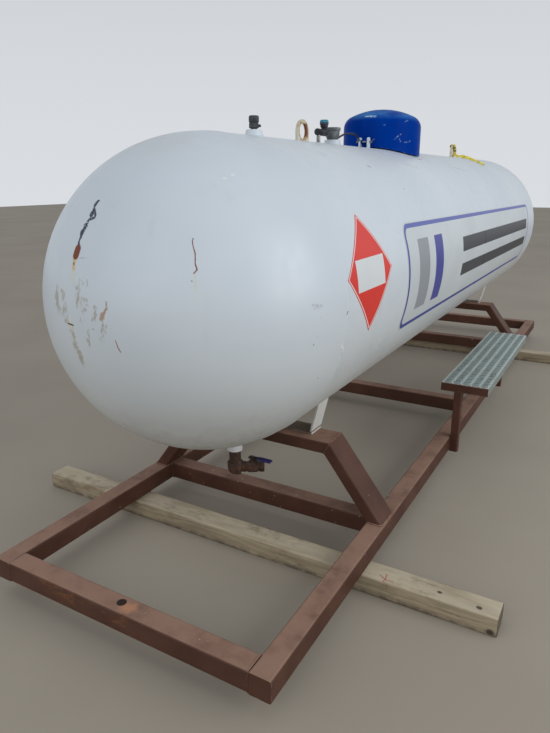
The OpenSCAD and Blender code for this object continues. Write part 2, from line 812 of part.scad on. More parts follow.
tank_shell();
head(-1);  // head_near
head(1);  // head_far
leg_plate_at(trestle_near_x);  // leg_plate_near
leg_plate_at(trestle_far_x);  // leg_plate_far
runner(-1);  // runner_step_side
runner(1);  // runner_far_side
cross_tube(-(skid_length - tube_width) / 2);  // end_tube_near
cross_tube((skid_length - tube_width) / 2);  // end_tube_far
cross_tube(trestle_near_x + cross_tube_shift);  // cross_tube_near
cross_tube(0);  // cross_tube_mid
cross_tube(trestle_far_x + cross_tube_shift);  // cross_tube_far
trestle_top(trestle_near_x);  // trestle_top_near
trestle_leg(trestle_near_x, -1);  // trestle_leg_near_step_side
trestle_leg(trestle_near_x, 1);  // trestle_leg_near_far_side
trestle_top(trestle_far_x);  // trestle_top_far
trestle_leg(trestle_far_x, -1);  // trestle_leg_far_step_side
trestle_leg(trestle_far_x, 1);  // trestle_leg_far_far_side
step_plank();
step_end(-1);  // step_end_near
step_end(1);  // step_end_far
step_post(-1);  // step_post_near
step_post(1);  // step_post_far
timber(trestle_near_x - timber_near_lead);  // timber_near
timber(trestle_far_x - timber_far_lag);  // timber_far
lifting_lug(-1);  // lifting_lug_near
lifting_lug(1);  // lifting_lug_far
relief_coupling();
relief_device();
bowl_coupling_ring();
bowl_relief_valve();
capped_valve_body();
capped_valve_cap();
valve_stub();
vent_hose();
marking_tape();
valve_hood();
hood_hinge_lugs();
hood_hinge_pin();
fill_valve();
service_valve();
level_gauge();
outlet_coupling();
outlet_nipple();
outlet_elbow();
outlet_valve();
outlet_handle();
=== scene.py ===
# %% [markdown]
# # A horizontal gas tank on its skid
# The real object is a welded steel vessel: a rolled shell with two round heads, on a frame of brown
# tubes that rests on two timbers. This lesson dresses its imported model. Each cell makes one piece or
# one finish, and says what that is on the real tank, how it could be made and why this way was taken.
# Everything is in metres, +X runs along the tank from the near end, and z is 0 at the ground.

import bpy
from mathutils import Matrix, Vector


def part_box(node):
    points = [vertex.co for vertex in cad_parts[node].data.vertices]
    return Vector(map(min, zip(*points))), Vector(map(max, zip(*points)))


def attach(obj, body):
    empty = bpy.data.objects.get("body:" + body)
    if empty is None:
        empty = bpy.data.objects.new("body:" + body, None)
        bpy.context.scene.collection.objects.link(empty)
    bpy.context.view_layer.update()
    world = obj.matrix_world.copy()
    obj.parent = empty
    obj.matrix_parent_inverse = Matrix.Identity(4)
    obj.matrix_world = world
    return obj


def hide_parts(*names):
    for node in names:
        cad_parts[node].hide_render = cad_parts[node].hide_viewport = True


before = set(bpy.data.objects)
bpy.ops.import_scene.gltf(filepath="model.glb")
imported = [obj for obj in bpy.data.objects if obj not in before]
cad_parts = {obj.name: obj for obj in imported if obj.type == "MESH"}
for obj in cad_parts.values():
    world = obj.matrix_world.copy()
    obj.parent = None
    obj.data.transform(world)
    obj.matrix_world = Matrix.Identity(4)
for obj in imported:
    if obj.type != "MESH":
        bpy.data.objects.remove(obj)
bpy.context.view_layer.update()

import math

import bmesh
import bpy
import numpy as np
from mathutils import Matrix

SKID, HOOD = "tank_on_skid", "hood"

# %% [markdown]
# ## Sizes that the frame gives
# A dressed piece has to sit where the plain model has its solid. So the few sizes that most pieces
# share are measured on the nodes: the tank's radius, its axis and the two seams where the heads
# meet the shell.

# %% Measure the tank
shell_low, shell_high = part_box("tank_shell")
near_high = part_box("head_near")[1]
TANK_RADIUS = (shell_high.y - shell_low.y) / 2
AXIS_Z = near_high.z - TANK_RADIUS
NEAR_SEAM, FAR_SEAM = near_high.x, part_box("head_far")[0].x
CROWN_Z = AXIS_Z + TANK_RADIUS
WALL = 0.0065    # the steel plate
print("tank radius", round(TANK_RADIUS, 4), "axis", round(AXIS_Z, 4), "seams", round(NEAR_SEAM, 3),
      round(FAR_SEAM, 3))

# %% [markdown]
# ## The camera
# The photograph was taken at eye height near one end. A camera could be turned until it looks right,
# but the fit of the tank's outline gives its place, its three angles and its focal length in
# pixels, so they are set as numbers. The same numbers also turn a pixel of the photograph into a
# point on the tank, and that is how the marks on the paint find their places.

# %% Camera from the fit
PHOTO_WIDTH, PHOTO_HEIGHT, FOCAL_PIXELS = 550, 733, 604.05
CAMERA_PLACE = np.array((-3.5200, -1.2145, 1.4149))
CAMERA_YAW, CAMERA_PITCH, CAMERA_ROLL = 0.5233, -0.3006, -0.0057
SENSOR_WIDTH = 36.0


def camera_axes(yaw, pitch, roll):
    """Right, up and forward of the camera: forward from yaw and pitch, then a turn by roll about it."""
    forward = np.array((math.cos(yaw) * math.cos(pitch), math.sin(yaw) * math.cos(pitch), math.sin(pitch)))
    level = np.array((math.sin(yaw), -math.cos(yaw), 0.0))
    upright = np.cross(level, forward)
    right = math.cos(roll) * level + math.sin(roll) * upright
    return right, np.cross(right, forward), forward


RIGHT, UP, FORWARD = camera_axes(CAMERA_YAW, CAMERA_PITCH, CAMERA_ROLL)
camera_data = bpy.data.cameras.new("photo_camera")
camera_data.sensor_width = SENSOR_WIDTH
camera_data.lens = FOCAL_PIXELS / PHOTO_HEIGHT * SENSOR_WIDTH
camera = bpy.data.objects.new("photo_camera", camera_data)
turn = Matrix([list(row) for row in np.stack([RIGHT, UP, -FORWARD], axis=1)]).to_4x4()
camera.matrix_world = Matrix.Translation(CAMERA_PLACE) @ turn
bpy.context.scene.collection.objects.link(camera)
bpy.context.scene.camera = camera
print("lens", round(camera_data.lens, 2), "mm")


# %% A pixel's place on the tank
def sight(pixels):
    """Directions of the lines of sight: forward, plus the pixel's offset over the focal length each way."""
    pixels = np.asarray(pixels, float)
    across = (pixels[..., :1] - PHOTO_WIDTH / 2) / FOCAL_PIXELS
    down = (pixels[..., 1:] - PHOTO_HEIGHT / 2) / FOCAL_PIXELS
    return FORWARD + across * RIGHT - down * UP


def seen_on_tank(pixels):
    """Points where the lines of sight through these pixels meet the tank.

    A line meets the shell where its distance from the axis is the radius, a quadratic in the length
    along it. Where that point lies before the near seam, the near head's sphere gives it instead."""
    ray = sight(np.reshape(pixels, (-1, 2)))
    start = CAMERA_PLACE - np.array((NEAR_SEAM, 0.0, AXIS_Z))

    def meet(keep):
        a = (ray * ray * keep).sum(1)
        b = (ray * start * keep).sum(1)
        c = (start * start * keep).sum() - TANK_RADIUS**2
        length = (-b - np.sqrt(np.maximum(b * b - a * c, 0.0))) / a
        return CAMERA_PLACE + length[:, None] * ray

    cylinder_point, sphere_point = meet(np.array((0.0, 1.0, 1.0))), meet(np.ones(3))
    return np.where(cylinder_point[:, :1] >= NEAR_SEAM, cylinder_point, sphere_point)


def seen_on_plane(pixel, axis, level):
    """The point where a line of sight meets the plane on which one coordinate has a given value."""
    ray = sight(pixel)
    return CAMERA_PLACE + (level - CAMERA_PLACE[axis]) / ray[axis] * ray


print("the middle pixel is at", seen_on_tank((275, 366)).round(3)[0])

# %% [markdown]
# ## Making surfaces
# Each new piece is a surface worked out as whole arrays: points on a grid of rows and columns. One
# function turns such grids into a mesh, one revolves a profile, and one carries an outline along a
# path. Ready-made primitives would be quicker to add, but they have no seams, beads or worn edges.


# %% From grids of points to a mesh
MERGE_DISTANCE = 2e-6


def grid_faces(rows, columns):
    """Corner numbers of the four-sided faces between neighbouring points, row after row."""
    first = (np.arange(rows - 1)[:, None] * columns + np.arange(columns - 1)).reshape(-1, 1)
    return first + np.array((0, 1, columns + 1, columns))


def tidy_mesh(mesh):
    """Merges points that lie on each other, and has the faces of closed parts point outwards."""
    work = bmesh.new()
    work.from_mesh(mesh)
    bmesh.ops.remove_doubles(work, verts=work.verts, dist=MERGE_DISTANCE)
    bmesh.ops.recalc_face_normals(work, faces=work.faces)
    work.to_mesh(mesh)
    work.free()


def make_piece(name, grids, material, body=SKID, replaced=(), uvs=None, crease=32.0):
    """One mesh of several grids: doubled points are merged, then faces are turned outwards."""
    starts = np.cumsum([0] + [g.shape[0] * g.shape[1] for g in grids])
    points = np.concatenate([g.reshape(-1, 3) for g in grids]).astype(np.float32)
    corners = np.concatenate([grid_faces(*g.shape[:2]) + s for g, s in zip(grids, starts)]).astype(np.int32)
    mesh = bpy.data.meshes.new(name)
    mesh.vertices.add(len(points))
    mesh.vertices.foreach_set("co", points.ravel())
    mesh.loops.add(corners.size)
    mesh.loops.foreach_set("vertex_index", corners.ravel())
    mesh.polygons.add(len(corners))
    mesh.polygons.foreach_set("loop_start", np.arange(0, corners.size, 4, dtype=np.int32))
    if uvs is not None:
        flat = np.concatenate([u.reshape(-1, 2) for u in uvs]).astype(np.float32)
        mesh.uv_layers.new(name="UVMap").data.foreach_set("uv", flat[corners.ravel()].ravel())
    mesh.update(calc_edges=True)
    mesh.validate()
    tidy_mesh(mesh)
    mesh.polygons.foreach_set("use_smooth", np.ones(len(mesh.polygons), bool))
    mesh.set_sharp_from_angle(angle=math.radians(crease))
    mesh.materials.append(material)
    piece = bpy.data.objects.new(name, mesh)
    bpy.context.scene.collection.objects.link(piece)
    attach(piece, body)
    if replaced:
        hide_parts(*replaced)
    print(name, len(mesh.polygons), "faces")
    return piece


# %% Profiles, revolved surfaces and swept outlines
def arc(centre, radius, start, end, steps):
    """Points on a circle's arc in a plane, from one angle to another, in degrees."""
    angle = np.radians(np.linspace(start, end, steps))
    return np.stack([centre[0] + radius * np.cos(angle), centre[1] + radius * np.sin(angle)], axis=1)


def looped(points):
    """A chain of points or rows with its first one again at the end."""
    return np.concatenate([points, points[:1]])


def axes_along(direction):
    """Two unit vectors square to a direction, and the direction itself."""
    ahead = np.asarray(direction, float) / np.linalg.norm(direction)
    helper = np.array((0.0, 0.0, 1.0)) if abs(ahead[2]) < 0.9 else np.array((1.0, 0.0, 0.0))
    side = np.cross(helper, ahead)
    side /= np.linalg.norm(side)
    return side, np.cross(ahead, side), ahead


def revolved(profile, base, direction=(0, 0, 1), steps=48):
    """Each profile point (radius, height) goes round: base + height along the axis + radius square to it."""
    side, other, ahead = axes_along(direction)
    turn = np.linspace(0, 2 * np.pi, steps + 1)
    ring = np.cos(turn)[:, None] * side + np.sin(turn)[:, None] * other
    profile = np.asarray(profile, float)
    return np.asarray(base) + profile[:, None, 1:] * ahead + profile[:, None, :1] * ring[None]


def swept(path, outline, up=(0, 0, 1), scale=None):
    """Carries a closed outline along a path, square to it, and closes both ends at the outline's middle."""
    path = np.asarray(path, float)
    along = np.gradient(path, axis=0)
    along /= np.linalg.norm(along, axis=1)[:, None]
    side = np.cross(np.asarray(up, float), along)
    side /= np.linalg.norm(side, axis=1)[:, None]
    top = np.cross(along, side)
    outline = looped(outline)
    grow = np.ones(len(path)) if scale is None else np.asarray(scale)
    local = outline[None] * grow[:, None, None]
    rows = path[:, None] + local[..., :1] * side[:, None] + local[..., 1:] * top[:, None]
    ends = [np.repeat(p[None, None], rows.shape[1], axis=1) for p in (path[0], path[-1])]
    return np.concatenate([ends[0], rows, ends[1]])


def round_outline(radius, sides):
    """A circle as a closed outline."""
    turn = np.arange(sides) / sides * 2 * np.pi
    return radius * np.stack([np.cos(turn), np.sin(turn)], axis=1)


def rounded_rectangle(width, height, radius, steps):
    """A rectangle whose corners are arcs, anticlockwise."""
    x, y = width / 2 - radius, height / 2 - radius
    middles = ((x, y, 0), (-x, y, 90), (-x, -y, 180), (x, -y, 270))
    return np.concatenate([arc((cx, cy), radius, a, a + 90, steps) for cx, cy, a in middles])


def holed_plate(middle, hole, outline, section):
    """A section, as shares of the way from hole to outline and their y, carried round an upright plate."""
    rows = []
    for share, y in section:
        flat = looped(hole + (outline - hole) * share)
        rows.append(np.column_stack([flat[:, 0], np.full(len(flat), y), flat[:, 1]]))
    return np.array(middle) + np.stack(rows)


def prism(centre, outline, height, direction=(0, 0, 1), chamfer=0.0008):
    """An outline stood up along a direction, with small chamfers at both ends and closed faces."""
    side, other, ahead = axes_along(direction)
    outline = looped(outline)
    size = np.abs(outline).max()
    inner = outline * (1 - chamfer / size)
    levels = ((inner * 0, 0), (inner, 0), (outline, chamfer), (outline, height - chamfer), (inner, height),
              (inner * 0, height))
    return np.asarray(centre) + np.stack([o[:, :1] * side + o[:, 1:] * other + h * ahead for o, h in levels])


def hexagon(across):
    """The outline of a nut, by its width over the corners."""
    return round_outline(across / 2, 6)


def even_steps(points, spacing, closed=True):
    """Points at even steps along a chain of points, whose length is summed up from its pieces."""
    points = np.asarray(points, float)
    chain = looped(points) if closed else points
    gone = np.concatenate([[0], np.cumsum(np.linalg.norm(np.diff(chain, axis=0), axis=1))])
    count = max(int(round(gone[-1] / spacing)), 3)
    at = np.linspace(0, gone[-1], count + 1)[: count if closed else None]
    return np.stack([np.interp(at, gone, chain[:, k]) for k in range(chain.shape[1])], axis=1)


def smooth_path(points, steps):
    """A curve through all points: between two of them it is a cubic that also heeds one more on each side."""
    p = np.asarray(points, float)
    p = np.concatenate([2 * p[:1] - p[1:2], p, 2 * p[-1:] - p[-2:-1]])
    t = np.linspace(0, 1, steps, endpoint=False)[None, :, None]
    a, b, c, d = (p[i:len(p) - 3 + i][:, None] for i in range(4))
    curve = 0.5 * (2 * b + (c - a) * t + (2 * a - 5 * b + 4 * c - d) * t**2 + (3 * b - a - 3 * c + d) * t**3)
    return np.concatenate([curve.reshape(-1, p.shape[1]), p[-2:-1]])


RIPPLE_POINTS, RIPPLE_SWELL, RIPPLE_PHASE = 3, 0.16, 0.4
BEAD_TILT = (0.53, 0.37, 0.76)    # a direction that no bead runs along


def weld_bead(points, radius, closed=True, ripple=0.008):
    """A weld bead: a rod along a chain of points, whose radius swells and sinks once in each ripple."""
    path = even_steps(points, ripple / RIPPLE_POINTS, closed)
    swell = 1 + RIPPLE_SWELL * np.sin(np.arange(len(path)) * 2 * np.pi / RIPPLE_POINTS + RIPPLE_PHASE)
    if closed:
        path = np.concatenate([path[-1:], path, path[:2]])
        swell = np.concatenate([swell[-1:], swell, swell[:2]])
    rod = swept(path, round_outline(radius, 6), up=BEAD_TILT, scale=swell)
    return rod[2:-2] if closed else rod


WAVES, WAVE_GAIN = 5, 1.6


def smooth_noise(places, scale, seed):
    """A smooth wobble between about -1 and 1: the mean of sine waves with seeded directions and phases."""
    rng = np.random.default_rng(seed)
    waves = rng.normal(size=(WAVES, places.shape[-1])) * scale
    return np.sin(places @ waves.T + rng.uniform(0, 2 * np.pi, WAVES)).mean(-1) * WAVE_GAIN


print("helpers for grids, profiles, paths and noise")


# %% [markdown]
# ## Writing materials as short recipes
# A finish is a small graph of nodes. Long graphs are hard to read when every node takes five lines, so
# a few helpers each add one node and give back its output. Patterns read Object coordinates, which are
# the real metres of the piece, so a rust spot of 6 mm is written as 0.006.

# %% Node helpers
SOCKET = bpy.types.NodeSocket


def new_material(name, roughness, metallic=0.0, **more):
    """A material, its node tree and its main shader, with the numbers that are the same all over."""
    material = bpy.data.materials.new(name)
    material.use_nodes = True
    shader = material.node_tree.nodes["Principled BSDF"]
    values = {"Roughness": roughness, "Metallic": metallic,
              **{k.replace("_", " "): v for k, v in more.items()}}
    for socket, value in values.items():
        shader.inputs[socket].default_value = value
    return material, material.node_tree, shader


def feed(tree, socket, value):
    """Links an output to a socket, or sets the socket's own value."""
    if isinstance(value, SOCKET):
        tree.links.new(value, socket)
    else:
        socket.default_value = value


def add_node(tree, kind, *values, out=0, **menus):
    """Adds a node with its menus and its first inputs, and gives back one output, by number or name."""
    made = tree.nodes.new("ShaderNode" + kind)
    for menu, choice in menus.items():
        setattr(made, menu, choice)
    for socket, value in zip(made.inputs, values):
        if value is not None:
            feed(tree, socket, value)
    return made.outputs[out]


def calc(tree, operation, *values, clamp=False):
    """One step of arithmetic."""
    return add_node(tree, "Math", *values, operation=operation, use_clamp=clamp)


def times(tree, first, second):
    """The product of two numbers."""
    return calc(tree, "MULTIPLY", first, second)


def plus(tree, first, second):
    """The sum of two numbers."""
    return calc(tree, "ADD", first, second)


def minus(tree, first, second):
    """One number less another."""
    return calc(tree, "SUBTRACT", first, second)


def larger(tree, first, second):
    """The larger of two numbers, which joins two masks."""
    return calc(tree, "MAXIMUM", first, second)


def vector(tree, operation, *values, out=0):
    """One step of vector arithmetic."""
    return add_node(tree, "VectorMath", *values, operation=operation, out=out)


def axis_of(tree, spot, axis):
    """One number of a vector: 0 is x, 1 is y and 2 is z."""
    return add_node(tree, "SeparateXYZ", spot, out=axis)


def place_of(tree, scale=(1, 1, 1)):
    """Object coordinates, stretched by a scale for each axis."""
    spot = add_node(tree, "TexCoord", out="Object")
    return vector(tree, "MULTIPLY", spot, scale) if tuple(scale) != (1, 1, 1) else spot


def noise(tree, spot, scale, detail, rough=0.55):
    """Soft cloudy noise, from 0 to 1 with its middle at 0.5."""
    made = tree.nodes.new("ShaderNodeTexNoise")
    for socket, value in (("Vector", spot), ("Scale", scale), ("Detail", detail), ("Roughness", rough)):
        feed(tree, made.inputs[socket], value)
    return made.outputs["Fac"]


def fade(tree, value, low, high):
    """0 at low and 1 at high, with a smooth step between. Low may be the larger of the two."""
    made = tree.nodes.new("ShaderNodeMapRange")
    made.interpolation_type = "SMOOTHSTEP"
    for socket, number in (("Value", value), ("From Min", low), ("From Max", high)):
        feed(tree, made.inputs[socket], number)
    return made.outputs["Result"]


def clouds(tree, spot, scale, detail, low, high, rough=0.55):
    """A mask of soft clouds: noise faded from 0 at low to 1 at high, so low over high gives their gaps."""
    return fade(tree, noise(tree, spot, scale, detail, rough), low, high)


def blend(tree, amount, first, second):
    """Two colours mixed by an amount from 0 to 1."""
    made = tree.nodes.new("ShaderNodeMix")
    made.data_type = "RGBA"
    for index, value in ((0, amount), (6, first), (7, second)):
        feed(tree, made.inputs[index], value)
    return made.outputs[2]


def blend_numbers(tree, amount, first, second):
    """Two numbers mixed by an amount from 0 to 1."""
    return add_node(tree, "Mix", amount, None, first, second)


def veils(tree, colour, *layers):
    """Lays colours over one another in turn. A layer is its mask, its strength and its colour."""
    for mask, strength, over in layers:
        colour = blend(tree, times(tree, mask, strength), colour, over)
    return colour


def paint(tree, shader, colour, rough=None):
    """Links a pattern to the shader's colour, and another to its roughness where that varies too."""
    tree.links.new(colour, shader.inputs["Base Color"])
    if rough is not None:
        tree.links.new(rough, shader.inputs["Roughness"])


def relief(tree, shader, height, depth):
    """Bump on the shader: height runs from 0 to 1, and depth is what 1 stands for, in metres."""
    made = tree.nodes.new("ShaderNodeBump")
    made.inputs["Distance"].default_value = depth
    feed(tree, made.inputs["Height"], height)
    tree.links.new(made.outputs["Normal"], shader.inputs["Normal"])


def rgb(red, green, blue):
    """A screen colour of 0 to 255 a channel, as the linear colour that a shader needs."""
    c = np.array((red, green, blue)) / 255
    linear = np.where(c <= 0.04045, c / 12.92, ((c + 0.055) / 1.055) ** 2.4)
    return (*linear.tolist(), 1.0)


# %% Masks for places and edges
def stroke(tree, spot, start, end, width, soft):
    """1 within a width of the line from start to end, fading to 0: the distance of a point to that line.

    The nearest point of the line is start + t (end - start), with t cut to 0..1."""
    line = np.asarray(end, float) - np.asarray(start, float)
    size = max(float(line @ line), 1e-9)
    away = vector(tree, "SUBTRACT", spot, tuple(start))
    share = calc(tree, "DIVIDE", vector(tree, "DOT_PRODUCT", away, tuple(line), out=1), size, clamp=True)
    reach = add_node(tree, "VectorMath", tuple(line), operation="SCALE")
    feed(tree, reach.node.inputs["Scale"], share)
    distance = vector(tree, "LENGTH", vector(tree, "SUBTRACT", away, reach), out=1)
    return fade(tree, distance, width, width * (1 - soft))


def strokes(tree, spot, points, widths, soft=0.5):
    """One mask for a chain of strokes: the largest of them."""
    mask = None
    for start, end, width in zip(points[:-1], points[1:], widths):
        one = stroke(tree, spot, start, end, width, soft)
        mask = one if mask is None else larger(tree, mask, one)
    return mask


def moved(tree, spot, cloud, reach):
    """A place moved by noise, so that what is drawn there gets a ragged edge."""
    return vector(tree, "ADD", spot, vector(tree, "MULTIPLY", cloud, reach))


def specks(tree, spot, scale, size, share):
    """Small round spots of a size: near the middles of a share of the cells of a Voronoi pattern."""
    cells = tree.nodes.new("ShaderNodeTexVoronoi")
    feed(tree, cells.inputs["Vector"], spot)
    cells.inputs["Scale"].default_value = scale
    near = fade(tree, cells.outputs["Distance"], size * scale, size * scale * 0.45)
    chance = axis_of(tree, cells.outputs["Color"], 0)
    return times(tree, near, fade(tree, chance, 1 - share, 1 - share + 0.01))


def upward(tree, low, high):
    """1 on faces that look up, where dust settles, and 0 on the rest."""
    return fade(tree, axis_of(tree, add_node(tree, "NewGeometry", out="Normal"), 2), low, high)


def height_in(tree):
    """The z of a point."""
    return axis_of(tree, place_of(tree), 2)


def flat_place(tree):
    """The two numbers of the piece's UV map."""
    uv = add_node(tree, "UVMap", out="UV")
    return axis_of(tree, uv, 0), axis_of(tree, uv, 1)


def worn_edges(tree, width):
    """1 along sharp edges: where the normal rounded over a width differs from the plain one."""
    rounded = add_node(tree, "Bevel", width, samples=4)
    plain = add_node(tree, "NewGeometry", out="Normal")
    return fade(tree, vector(tree, "DOT_PRODUCT", rounded, plain, out=1), 0.985, 0.90)


print("helpers for nodes, masks and colours")


# %% [markdown]
# ## White enamel with years of yard life
# The vessel is sprayed white, and the photograph shows what happened since: a black scuff that turned
# to rust on the near head, a thin rusty squiggle in its middle with a yellow drip, a field of tan
# scrapes at the left, and specks over the shell. An image could hold all this, but it would be a copy
# of the photograph. Instead each mark is a stroke between points, and noise gives it a ragged edge.

# %% Marks on the near head and the shell, by where the photograph shows them
# Each mark is a chain of (x, y, half width in mm), with x and y in pixels of the photograph
BLACK_SCUFF = [
    [(98.2, 201.2, 6), (94.8, 205.6, 5)], [(94.2, 209.0, 9), (92.6, 213.4, 14), (93.0, 216.6, 7)],
    [(89.0, 219.6, 6), (85.6, 226.0, 10), (82.0, 233.0, 6), (80.4, 238.0, 5), (78.6, 243.6, 5)],
]
RUST_BLOB = [[(77.7, 249.0, 15), (76.0, 254.8, 14)]]
BLOB_DRIP = [[(75.0, 258.5, 12), (74.0, 263.0, 11), (73.6, 268.0, 9)]]
FAINT_DRIP = [[(73.6, 268.0, 12), (72.8, 281.0, 9)], [(195.0, 275.0, 5), (196.2, 290.0, 5)]]
FAINTEST_DRIP = [[(196.2, 288.0, 6), (196.6, 304.0, 6)], [(347.0, 315.5, 3), (346.2, 346.0, 3)]]
SQUIGGLE = [[(192.4, 240.6, 2.0), (193.0, 246.4, 2.0), (195.5, 254.5, 2.2), (195.0, 263.5, 2.4),
             (197.0, 269.6, 2.2), (194.0, 273.4, 1.6)]]
TAN_SCRAPES = [[(56.6, 289.7, 16), (59.1, 311.4, 14)], [(63.0, 293.5, 16), (66.1, 319.0, 15)],
               [(76.4, 288.0, 14), (77.0, 302.4, 13)], [(84.0, 298.6, 14), (82.7, 322.9, 14)],
               [(81.0, 279.5, 12), (79.5, 287.0, 10)],
               [(70.0, 324.5, 12), (75.7, 345.0, 15), (83.4, 363.7, 12)],
               [(87.8, 330.5, 9), (89.0, 344.7, 9)], [(104.6, 322.7, 12), (101.2, 339.4, 12)],
               [(95.0, 310.0, 10), (94.0, 318.0, 10)]]
RAW_SCRAPES = [[(105.7, 302.4, 4), (107.0, 307.6, 5), (102.6, 315.2, 9), (101.2, 319.0, 8)]]
PALE_SCRAPES = [[(107.8, 312.7, 4), (101.2, 321.6, 4)], [(70.0, 318.6, 8), (70.6, 329.2, 8)]]
GREY_STREAKS = [[(87.2, 279.5, 4), (86.9, 285.9, 4)], [(78.8, 258.2, 2), (87.0, 258.0, 2)]]
BROWN_NICK = [[(115.3, 340.7, 2.2), (117.5, 347.0, 2.4), (120.6, 352.2, 2.0)]]
DARK_TICKS = [[(68.1, 323.5, 3.0), (73.4, 325.4, 3.0)], [(73.9, 263.2, 4), (73.8, 264.2, 4)],
              [(193.0, 239.0, 2.6), (193.1, 239.2, 2.6)], [(347.9, 311.2, 2.6), (346.8, 314.4, 2.6)]]
DARK_SPECKS = [(321.0, 318.0), (317.0, 336.5), (314.0, 345.0), (341.5, 350.0), (341.0, 354.0), (299.5, 192.5),
               (93.2, 329.0), (317.5, 378.5), (191.8, 281.1), (399.0, 232.0), (404.0, 189.0), (434.5, 163.2)]
RUSTY_LINE = [[(417.5, 158.8, 5), (421.5, 159.8, 4)], [(367.6, 165.8, 4), (370.6, 167.2, 4)]]
GREY_SMUDGES = [[(313.0, 306.5, 10), (321.0, 306.5, 10)], [(403.0, 163.2, 9), (418.0, 168.0, 9)],
                [(453.0, 167.4, 9), (466.0, 170.6, 9)]]
LIGHT_TOUCH_UPS = [[(224.0, 178.0, 6), (225.0, 178.0, 6)], [(232.5, 174.5, 6), (233.5, 174.5, 6)],
                   [(341.5, 345.0, 6), (343.0, 351.0, 6)]]
print("the black scuff starts at", seen_on_tank(BLACK_SCUFF[0][0][:2]).round(3)[0])


# %% White enamel
def white_enamel(name, marks):
    """Sprayed enamel. With marks it also carries the scuffs and rust that the photograph shows."""
    material, tree, shader = new_material(name, roughness=0.40, Coat_Weight=0.10, Coat_Roughness=0.25)
    spot = place_of(tree)
    rain = clouds(tree, place_of(tree, (9, 9, 0.7)), 1.0, 4, 0.58, 0.8)
    low = fade(tree, height_in(tree), 0.86, 0.50)
    splash = times(tree, low, clouds(tree, spot, 16, 6, 0.42, 0.72, 0.7))
    dust = times(tree, upward(tree, 0.72, 1.0), clouds(tree, spot, 5, 5, 0.35, 0.75))
    chips = specks(tree, spot, 7.5, 0.0034, 0.20)
    colour = blend(tree, clouds(tree, spot, 1.3, 4, 0.3, 0.7), rgb(196, 206, 214), rgb(205, 213, 219))
    # The second layer below, a warm grey that grows towards the bottom, is painted shade with a warm cast of
    # light from the ground.
    colour = veils(tree, colour, (rain, 0.28, rgb(176, 180, 178)),
                   (fade(tree, height_in(tree), 1.15, 0.55), 0.45, rgb(196, 193, 180)),
                   (splash, 0.42, rgb(150, 138, 118)), (dust, 0.30, rgb(186, 180, 168)))
    colour = blend(tree, chips, colour, rgb(96, 70, 52))
    rust_mask = pits = chips
    if marks:
        colour, rust_mask, pits = painted_marks(tree, spot, colour, chips)
    rough = blend_numbers(tree, clouds(tree, spot, 30, 5, 0.35, 0.75), 0.36, 0.50)
    rough = blend_numbers(tree, rust_mask, rough, 0.85)
    paint(tree, shader, colour, blend_numbers(tree, splash, rough, 0.65))
    peel = times(tree, noise(tree, spot, 260, 2), 0.05)
    wave = plus(tree, noise(tree, spot, 2.2, 2), peel)
    relief(tree, shader, minus(tree, wave, times(tree, pits, 0.25)), 0.0022)
    return material


SPECK_SIZE, BARE_STRENGTH = 3.4, 0.98
WOBBLES = (0.004, 0.014, 0.045)    # how far noise moves the edge of a fine, a small and a large mark


def painted_marks(tree, spot, colour, chips):
    """Adds the marks in layers, from faint stains to bare rust. Gives back colour, dull places and pits."""
    shake = tree.nodes.new("ShaderNodeTexNoise")
    feed(tree, shake.inputs["Vector"], spot)
    shake.inputs["Scale"].default_value = 75
    shake.inputs["Detail"].default_value = 4
    wobble = vector(tree, "SUBTRACT", shake.outputs["Color"], (0.5, 0.5, 0.5))
    fine, small, large = (moved(tree, spot, wobble, (size, size, size)) for size in WOBBLES)
    streaky = clouds(tree, place_of(tree, (1, 1, 0.25)), 90, 4, 0.40, 0.54, 0.7)
    mostly = clouds(tree, spot, 120, 4, 0.36, 0.44, 0.7)

    def layer(chains, strength, wobbly, soft, broken=None):
        mask = None
        for chain in chains:
            points = seen_on_tank([mark[:2] for mark in chain])
            one = strokes(tree, wobbly, points, [mark[2] / 1000 for mark in chain], soft)
            mask = one if mask is None else larger(tree, mask, one)
        if broken is not None:
            mask = times(tree, mask, broken)
        return times(tree, mask, strength)

    faint_marks = ((FAINTEST_DRIP, rgb(206, 210, 196), 0.45, small, 0.95),
                   (FAINT_DRIP, rgb(204, 204, 180), 0.60, small, 0.95),
                   (BLOB_DRIP, rgb(206, 178, 126), 0.92, small, 0.7),
                   (GREY_SMUDGES, rgb(160, 162, 166), 0.70, large, 0.95),
                   (LIGHT_TOUCH_UPS, rgb(222, 226, 224), 0.8, small, 0.6),
                   (GREY_STREAKS, rgb(136, 140, 146), 0.55, small, 0.8),
                   (TAN_SCRAPES, rgb(160, 154, 138), 0.80, large, 0.6, streaky),
                   (PALE_SCRAPES, rgb(224, 220, 200), 0.85, large, 0.6))
    for chains, tint, *how in faint_marks:
        colour = blend(tree, layer(chains, *how), colour, tint)
    specks_at = [[(*place, SPECK_SIZE), (*place, SPECK_SIZE)] for place in DARK_SPECKS]
    bare_marks = (
        (RUST_BLOB, rgb(118, 56, 28), fine, 0.25), (RAW_SCRAPES, rgb(172, 146, 130), small, 0.5),
        (BLACK_SCUFF, rgb(50, 54, 74), small, 0.35, mostly), (specks_at, rgb(92, 84, 80), small, 0.7),
        (DARK_TICKS, rgb(84, 72, 60), fine, 0.5), (SQUIGGLE + RUSTY_LINE, rgb(124, 62, 50), fine, 0.55),
        (BROWN_NICK, rgb(150, 86, 62), fine, 0.6),
    )
    pits, dull = None, chips
    for chains, tint, *how in bare_marks:
        mask = layer(chains, BARE_STRENGTH, *how)
        colour = blend(tree, mask, colour, tint)
        dull = larger(tree, dull, mask)
        pits = pits or mask
    return colour, dull, pits


tank_paint = white_enamel("tank_paint", marks=True)
fitting_paint = white_enamel("fitting_paint", marks=False)
print("white enamel with", len(DARK_SPECKS), "specks and", len(TAN_SCRAPES), "tan scrapes")

